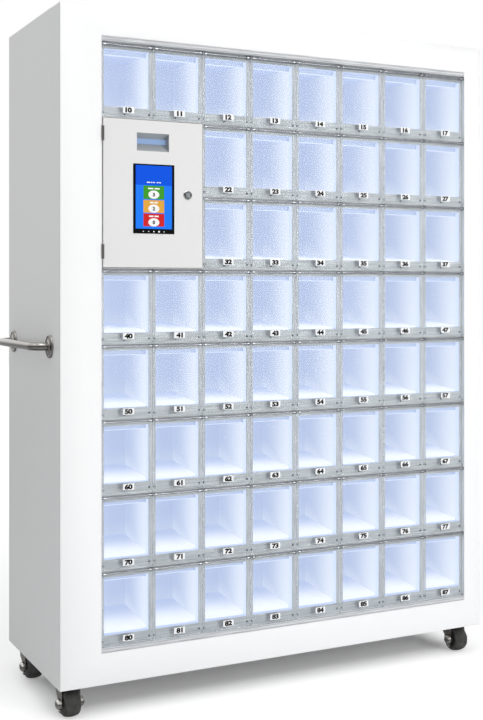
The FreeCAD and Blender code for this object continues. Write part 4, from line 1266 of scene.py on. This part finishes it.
# %% Screen shapes
screen_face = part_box("screen_panel")[0].y
bezel_low, bezel_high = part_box("screen_bezel")
bezel_side, bezel_head = 0.0072, 0.004
screen_left, screen_top = bezel_low.x + bezel_side, bezel_high.z - bezel_head
layer = 0.0001
HEAD, WHITE, GREEN, AMBER, RED = range(5)


def shape_on_screen(work, outline, x, z, level, material):
    """Add a slab with its middle x and z millimetres from the display's left and top."""
    slab(work, outline, (screen_left + x / 1000.0, screen_top - z / 1000.0),
         screen_face - level * layer, screen_face - (level - 1.5) * layer, material)


def box_on_screen(work, left, right, top, foot, level, material, radius=0.0004):
    """Add a rounded box by its edges, in the same millimetres."""
    width, height = (right - left) / 1000.0, (foot - top) / 1000.0
    outline = rounded_outline(width, height, min(radius, width / 2.1, height / 2.1))
    shape_on_screen(work, outline, (left + right) / 2.0, (top + foot) / 2.0, level, material)


work = bmesh.new()
box_on_screen(work, 0.3, 108.3, 0.3, 54.2, 1, HEAD)
for left, right in ((33.0, 43.5), (45.5, 50.0), (52.0, 57.5), (62.5, 68.0), (70.0, 75.5)):
    box_on_screen(work, left, right, 45.0, 48.0, 2, WHITE, 0.001)
tiles = (
    # top, foot, material, middle and width of the bar, middle of the oval, figure
    (55.7, 92.9, GREEN, 63.5, 35.0, 80.3, "3"),
    (95.4, 130.7, AMBER, 102.4, 23.5, 119.2, "2"),
    (133.2, 168.5, RED, 140.5, 29.0, 157.3, "0"),
)
tile_left, tile_right = 22.9, 85.4
tile_middle = (tile_left + tile_right) / 2.0
for top, foot, material, bar_z, bar_width, oval_z, _ in tiles:
    box_on_screen(work, tile_left, tile_right, top, foot, 1, material, 0.0008)
    for left, right in ((-0.5, -0.04), (0.06, 0.5)):
        box_on_screen(work, tile_middle + left * bar_width, tile_middle + right * bar_width,
                      bar_z - 2.0, bar_z + 2.0, 2, WHITE, 0.001)
    shape_on_screen(work, ellipse(0.0164, 0.0115, 36), tile_middle, oval_z, 2, WHITE)
screen = kept(work, "screen_picture")
piece = shown_piece("screen_picture", screen, "screen_head", "screen_white", "tile_green",
                    "tile_amber", "tile_red")
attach(piece, "control_door")
print("screen picture", len(screen.polygons), "faces")

# %% Screen figures
writing = [laid(text_mesh(figure, 0.0095),
                (screen_left + tile_middle / 1000.0, screen_face - 2.5 * layer,
                 screen_top - oval_z / 1000.0)) for *_, oval_z, figure in tiles]
figures = joined("screen_figures", writing)
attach(shown_piece("screen_figures", figures, "screen_ink"), "control_door")
print("screen figures", len(figures.polygons), "faces")

# %% [markdown]
# ## Marks on the bezel
# Along the foot of the bezel stand five small lit touch marks. They are round beads in
# the bezel's face, and the fourth, which is on, is the largest.

# %% Touch marks
marks_drop = 0.183
work = bmesh.new()
for x, radius in ((22.6, 1.5), (38.4, 1.5), (53.7, 2.0), (69.3, 2.6), (84.5, 1.5)):
    outline = ellipse(radius / 1000.0, radius / 1000.0, 20)
    slab(work, outline, (screen_left + x / 1000.0, screen_top - marks_drop),
         bezel_low.y - 0.0001, bezel_low.y + 0.0002)
marks = kept(work, "touch_marks")
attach(shown_piece("touch_marks", marks, "screen_white"), "control_door")
print("touch marks", len(marks.polygons), "faces")

# %% [markdown]
# ## The lock
# A cam lock has a rounded flange on the door's face, a dark ring where the turning plug
# meets it, and a threaded body behind the door, held by a nut. The flange and the body
# are one turned profile with the real bore through them.

# %% Lock housing
lock_low, lock_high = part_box("lock_housing")
lock_x, lock_z = (lock_low.x + lock_high.x) / 2.0, (lock_low.z + lock_high.z) / 2.0
flange_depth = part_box("control_door")[0].y - lock_low.y
lock_deep = lock_high.y - lock_low.y
lock_bore, lock_radius, thread_pitch, nut_gap = 0.0062, 0.0130, 0.0012, 0.0015
threads = []
for i in range(8):
    crest = lock_deep - thread_pitch / 2.0 - i * thread_pitch
    threads += [(0.009, crest), (0.0086, crest - thread_pitch / 2.0)]
profile = [(lock_bore, 0.0009), (0.0071, 0.0006), (0.0078, 0.0), (0.0098, 0.0),
           (0.0102, 0.0005), (0.0107, 0.0005), (0.0111, 0.0001), (0.0119, 0.0004),
           (0.0127, 0.0012), (lock_radius, 0.0021), (lock_radius, flange_depth),
           (0.0090, flange_depth)] + threads[::-1] + [(0.0084, lock_deep), (lock_bore, lock_deep)]
nut_profile = [(0.0092, 0.0), (0.0128, 0.0), (0.0130, 0.0003), (0.0130, 0.0037),
               (0.0128, 0.004), (0.0092, 0.004)]
collar = turned("lock_collar", profile, 56, loop=True)
nut = laid(turned("lock_nut", nut_profile, 6, loop=True), (0.0, 0.0, flange_depth + nut_gap))
housing = laid(joined("lock_collar", [collar, nut]), (lock_x, lock_low.y, lock_z), -pi / 2.0, "X")
piece = shown_piece("lock_collar", housing, "lock_nickel")
smoothed(piece.data, 28.0)
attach(piece, "control_door")
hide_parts("lock_housing")
print("lock collar", len(housing.polygons), "faces, depth", round(lock_deep, 4))

# %% [markdown]
# ## Push handles
# Each side has a polished bar that leaves one round flange, turns along the case and
# comes back to the other. It follows a path, so a tree makes it: four points, a fillet
# at the two bends, and a round section drawn along the result. Only the radius, the
# bend and the four points are given.

# %% Tree: bar along a path
bar_tree, take, give = node_group("bar_along_a_path", (
    SHAPE, ("Bend", "Float", 0.03), ("Radius", "Float", 0.01), ("Sides", "Int", 28), FINISH),
    (SHAPE,), "GeometryNodeTree")
line, bends, sweep, *_, paint = chained(bar_tree, "MeshToCurve", "FilletCurve", "CurveToMesh",
                                        "SetShadeSmooth", "RealizeInstances", "SetMaterial")
bends.mode = "POLY"
section = added(bar_tree, "GeometryNodeCurvePrimitiveCircle", Resolution=take["Sides"],
                Radius=take["Radius"])
put(bar_tree, line, Mesh=take["Geometry"])
put(bar_tree, bends, Radius=take["Bend"], Count=12, Limit_Radius=True)
put(bar_tree, sweep, Profile_Curve=section.outputs["Curve"], Fill_Caps=True)
put(bar_tree, paint, Material=take["Finish"])
put(bar_tree, give, Geometry=paint.outputs[0])
print(bar_tree.name, len(bar_tree.nodes), "nodes")


def outward(piece):
    """Recalculate a closed piece's normals so that they point out."""
    work = bmesh.new()
    work.from_mesh(piece.data)
    bmesh.ops.recalc_face_normals(work, faces=work.faces)
    work.to_mesh(piece.data)
    work.free()


# %% Handle bars
bar_radius, bar_bend = 0.011, 0.032
for side, label in ((-1.0, "left"), (1.0, "right")):
    low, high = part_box("handle_bar_" + label)
    seat = side * min(abs(low.x), abs(high.x))
    out = side * (max(abs(low.x), abs(high.x)) - bar_radius)
    near, far = low.y + bar_radius, high.y - bar_radius
    z = (low.z + high.z) / 2.0
    path = [(seat, near, z), (out, near, z), (out, far, z), (seat, far, z)]
    piece = grown("push_bar_" + label, bar_tree, path, [(0, 1), (1, 2), (2, 3)], Bend=bar_bend,
                  Radius=bar_radius, Sides=32, Finish=finishes["polished_bar"])
    outward(piece)
    smoothed(piece.data, 50.0)
    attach(piece, "cabinet")
    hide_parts("handle_bar_" + label)
    print(piece.name, len(piece.data.polygons), "faces")

# %% [markdown]
# ## Handle flanges
# A flange is a pressed cover plate: a rounded rim, a shallow ring, and a raised collar
# round the bar. One profile gives all of it, and the four plates share one mesh.

# %% Handle flanges
flange_low, flange_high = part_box("handle_flanges")
flange_radius = 0.0325
profile = [(0.0, 0.0), (flange_radius, 0.0), (flange_radius, 0.0018), (0.0322, 0.0030),
           (0.0314, 0.0041), (0.0302, 0.0048), (0.0285, 0.0050), (0.0272, 0.0047),
           (0.0262, 0.0040), (0.0250, 0.0038), (0.0205, 0.0042), (0.0160, 0.0050),
           (0.0148, 0.0056), (0.0143, 0.0066), (0.0138, 0.0078), (0.0130, 0.0084),
           (0.0118, 0.0086), (0.0, 0.0086)]
middle_z = (flange_low.z + flange_high.z) / 2.0
flanges = joined("flange_covers", [
    laid(turned("flange", profile, 56), (side * case_high.x, y, middle_z), side * pi / 2.0)
    for side in (-1.0, 1.0)
    for y in (flange_low.y + flange_radius, flange_high.y - flange_radius)])
piece = shown_piece("flange_covers", flanges, "polished_flange")
smoothed(piece.data, 50.0)
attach(piece, "cabinet")
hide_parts("handle_flanges")
print("flange covers", len(flanges.polygons), "faces")

# %% [markdown]
# ## Caster wheels
# The tyre is well crowned, with round shoulders and a fine mould line round its middle.
# Its sides are dished down to a hub with a raised lip. Tyre and core are two profiles
# turned about the axle, and each wheel is a body of its own.

# %% Tyre and core profiles
wheel_low, wheel_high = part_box("caster_wheel_front_left")
wheel_radius = (wheel_high.z - wheel_low.z) / 2.0
wheel_half = (wheel_high.x - wheel_low.x) / 2.0
core_radius, dish_depth, bore = 0.0262, 0.003, 0.0051


def both_sides(half_profile):
    """Half a wheel's profile, and its mirror image in the middle plane."""
    return half_profile + [(radius, -height) for radius, height in reversed(half_profile)]


tyre_profile = both_sides([
    (core_radius, wheel_half - 0.0006), (0.0285, wheel_half), (0.0308, wheel_half - 0.0006),
    (0.0330, wheel_half - 0.0022), (0.0347, wheel_half - 0.0048), (0.0359, wheel_half - 0.0085),
    (0.0368, wheel_half - 0.0130), (0.0374, 0.0050), (wheel_radius, 0.0009), (0.0371, 0.0004)])
core_profile = both_sides([
    (bore, wheel_half), (0.0095, wheel_half), (0.0102, wheel_half - 0.0008),
    (0.0108, wheel_half - dish_depth), (0.0215, wheel_half - dish_depth),
    (0.0236, wheel_half - 0.0012), (0.0246, wheel_half - 0.0006),
    (core_radius, wheel_half - 0.0006)])
print(len(tyre_profile), len(core_profile), "profile points")

# %% Caster wheels
corners = ("front_left", "front_right", "rear_left", "rear_right")
wheel_parts = (("tyre", tyre_profile, "rubber_tyre"), ("core", core_profile, "wheel_core"))
for corner in corners:
    node = "caster_wheel_" + corner
    low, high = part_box(node)
    for label, profile, kind in wheel_parts:
        mesh = turned(label + "_" + corner, profile, 64, loop=True)
        piece = shown_piece(mesh.name, laid(mesh, (low + high) / 2.0, pi / 2.0), kind)
        smoothed(mesh, 32.0)
        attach(piece, node)
        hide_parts(node)
print("wheels on", len(corners), "casters")

# %% [markdown]
# ## Caster forks
# The fork is pressed from thick steel plate and has a rolled edge. The frame's part also
# holds the axle, its pin and its bolts, which are bright on the real caster. They are
# separate shells in the copied mesh, so each shell gets the finish that fits its size.

# %% Shell finder
def shells(mesh):
    """The faces of each separate shell of a mesh, with the shell's height."""
    work = bmesh.new()
    work.from_mesh(mesh)
    left = set(work.faces)
    found = []
    while left:
        edge = [left.pop()]
        shell = list(edge)
        while edge:
            face = edge.pop()
            for other in {other for rim in face.edges for other in rim.link_faces} & left:
                left.remove(other)
                shell.append(other)
                edge.append(other)
        tall = [vertex.co.z for face in shell for vertex in face.verts]
        found.append(([face.index for face in shell], max(tall) - min(tall)))
    work.free()
    return found


# %% Forks, plates and brakes
tallest_pin = 0.04
for corner in corners:
    node = "caster_fork_" + corner
    piece = softened(node, "fork_plate", 0.0005)
    piece.data.materials.append(finishes["cap_steel"])
    for faces, tall in shells(piece.data):
        if tall < tallest_pin:
            for index in faces:
                piece.data.polygons[index].material_index = 1
    print(node, len(piece.data.polygons), "faces")
for node, kind in (("caster_plates", "caster_top"), ("caster_brake_rear_left", "pedal_plastic"),
                   ("caster_brake_rear_right", "pedal_plastic")):
    softened(node, kind, 0.0006)

# %% [markdown]
# ## Axle caps
# The axle ends in a large polished cap, a shallow dome that catches the brightest light
# on the whole caster, and the guard bolt below it has a small one. Both are turned
# profiles that sit over the plain heads of the frame's part.

# %% Axle caps
fork_low, fork_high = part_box("caster_fork_front_left")
cap_radius, cap_seat, cap_height = 0.0152, 0.0016, 0.0119
guard_drop, head_depth = 0.020, 0.012
fork_half = (fork_high.x - fork_low.x) / 2.0 - head_depth
cap_profile = [(0.0, 0.0), (cap_radius, 0.0)]
for turn in (0, 12, 24, 36, 48, 60, 72, 82):
    cap_profile.append((cap_radius * cos(radians(turn)),
                        cap_seat + (cap_height - cap_seat) * sin(radians(turn))))
cap_profile.append((0.0, cap_height))
bolt_profile = [(0.0, 0.0), (0.0046, 0.0), (0.0046, 0.0012), (0.0040, 0.0024),
                (0.0026, 0.0032), (0.0, 0.0035)]
for corner in corners:
    wheel_low, wheel_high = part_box("caster_wheel_" + corner)
    middle = (wheel_low + wheel_high) / 2.0
    caps = joined("axle_caps_" + corner, [
        laid(turned("cap", profile, 32),
             (middle.x + side * fork_half, middle.y, middle.z - drop), side * pi / 2.0)
        for side in (-1.0, 1.0)
        for profile, drop in ((cap_profile, 0.0), (bolt_profile, guard_drop))])
    piece = shown_piece(caps.name, caps, "cap_steel")
    smoothed(caps, 50.0)
    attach(piece, "caster_fork_" + corner)
print("axle caps", len(caps.polygons), "faces each")

# %% [markdown]
# ## Screws and bolts
# The back panel is held by pan head screws with a cross recess, and each caster plate by
# four hexagon bolts with nuts inside the case. Screws never stop at the same angle, so a
# tree turns each one about its own axis by a random angle with a fixed seed.

# %% Screw and bolt patterns
def pan_head(name, radius, height, stem_radius, stem):
    """A pan head screw along +Z with a sunk cross, and its stem below."""
    mesh = turned(name, [(0.0, -stem), (stem_radius, -stem), (stem_radius, 0.0), (radius, 0.0),
                         (radius, height * 0.45), (radius * 0.88, height * 0.8),
                         (radius * 0.6, height * 0.985), (0.0, height * 0.985)], 20)
    work = bmesh.new()
    work.from_mesh(mesh)
    wide, long, deep = radius * 0.13, radius * 0.5, height * 0.55
    outline = [(wide, long), (wide, wide), (long, wide), (long, -wide), (wide, -wide),
               (wide, -long), (-wide, -long), (-wide, -wide), (-long, -wide), (-long, wide),
               (-wide, wide), (-wide, long)]
    rim, sole = [[work.verts.new((x, y, z)) for x, y in outline] for z in (height, height - deep)]
    work.faces.new(sole)
    walled(work, rim, sole)
    work.to_mesh(mesh)
    work.free()
    return mesh


def hexagon(work, radius, low, high):
    """A hexagon head or nut along Z, with its corners turned off."""
    soft = radius * 0.12
    levels = ((low, radius - soft), (low + soft * 0.6, radius), (high - soft * 0.6, radius),
              (high, radius - soft))
    rings = [[work.verts.new((x, y, z)) for x, y in ellipse(reach, reach, 6)]
             for z, reach in levels]
    work.faces.new(rings[0][::-1])
    work.faces.new(rings[-1])
    for near, far in zip(rings, rings[1:]):
        walled(work, near, far)


print("screw helpers ready")

# %% Back screws
fast_low, fast_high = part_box("fasteners")
back_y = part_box("back_panel")[1].y
screw_radius, screw_height = 0.004, fast_high.y - back_y
screw = laid(pan_head("pan_head", screw_radius, screw_height, 0.002, 0.005),
             angle=-pi / 2.0, axis="X")
screw_pattern = pattern_object("pan_head", screw)
screw_x = fast_high.x - screw_radius
screws_low, screws_high = case_low.z + 0.088, fast_high.z - screw_radius
spots = [(side * screw_x, back_y, screws_low + (screws_high - screws_low) * i / 5.0)
         for side in (-1.0, 1.0) for i in range(6)]
piece = grown("back_screws", spot_tree, spots, Piece=screw_pattern, Turn=pi, Seed=11,
              Finish=finishes["screw_zinc"])
smoothed(piece.data, 40.0)
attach(piece, "cabinet")
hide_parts("fasteners")
print("back screws", [round(spot[2], 4) for spot in spots[:6]])

# %% Caster bolts
bolt_foot, plate_foot, pan_face = fast_low.z, 0.089, case_low.z + 0.003
bolt_size, stem_radius, stem_end = 0.0065, 0.004, pan_face + 0.0092
swivel_lead, bolt_offset = 0.014, 0.026
work = bmesh.new()
hexagon(work, bolt_size, bolt_foot, plate_foot)
hexagon(work, bolt_size, pan_face, pan_face + bolt_size)
work.from_mesh(turned("stem", [
    (0.0, plate_foot), (stem_radius, plate_foot), (stem_radius, pan_face + 0.0085),
    (0.0034, stem_end), (0.0, stem_end)], 16))
bolt_pattern = pattern_object("hexagon_bolt", kept(work, "hexagon_bolt"))
offsets = (-bolt_offset, bolt_offset)
spots = []
for corner in corners:
    low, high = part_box("caster_wheel_" + corner)
    swivel_x, swivel_y = (low.x + high.x) / 2.0, (low.y + high.y) / 2.0 + swivel_lead
    spots += [(swivel_x + dx, swivel_y + dy, 0.0) for dx in offsets for dy in offsets]
piece = grown("caster_bolts", spot_tree, spots, Piece=bolt_pattern, Turn_Axis=(0.0, 0.0, 1.0),
              Turn=pi, Seed=7, Finish=finishes["screw_zinc"])
smoothed(piece.data, 30.0)
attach(piece, "cabinet")
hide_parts("fasteners")
print("caster bolts", len(spots))

# %% [markdown]
# ## Parts on the controller board
# With the control door open the board faces out. Its larger parts are low blocks on its
# face: dark chips and relays, pale plugs along the edges, and two metal cans.

# %% Board parts
low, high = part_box("controller_board")
middle_x, middle_z = (low.x + high.x) / 2.0, (low.z + high.z) / 2.0
DARK, PALE, METAL = range(3)
blocks = [  # x and z from the board's middle, width, height, how far it stands out, finish
    (-0.022, 0.006, 0.03, 0.03, 0.0024, DARK), (0.03, 0.022, 0.02, 0.013, 0.002, DARK),
    (0.034, -0.006, 0.012, 0.012, 0.002, DARK), (-0.062, 0.024, 0.016, 0.01, 0.002, DARK),
    (0.004, -0.03, 0.013, 0.012, 0.005, METAL), (0.022, -0.03, 0.013, 0.012, 0.005, METAL),
]
blocks += [(-0.078 + 0.019 * i, -0.056, 0.016, 0.02, 0.015, DARK) for i in range(4)]
blocks += [(0.01 + 0.024 * i, -0.063, 0.02, 0.009, 0.008, PALE) for i in range(4)]
blocks += [(-0.07 + 0.028 * i, 0.063, 0.024, 0.009, 0.008, PALE) for i in range(6)]
work = bmesh.new()
for x, z, width, height, rise, kind in blocks:
    slab(work, rounded_outline(width, height, 0.0008), (middle_x + x, middle_z + z),
         low.y - rise, low.y + 0.0002, kind)
board_parts = kept(work, "board_parts")
piece = shown_piece("board_parts", board_parts, "bezel_plastic", "plate_white", "screw_zinc")
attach(piece, "cabinet")
print("board parts", len(blocks))

# %% [markdown]
# ## Finish
# The patterns that the trees repeated are no part of the cabinet, so they go. The box of
# the dressed cabinet is printed: the finer pieces must not make the cabinet bigger.

# %% Finish
for pattern in patterns:
    bpy.data.objects.remove(pattern)
low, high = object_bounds()
print("visual box", low, high)
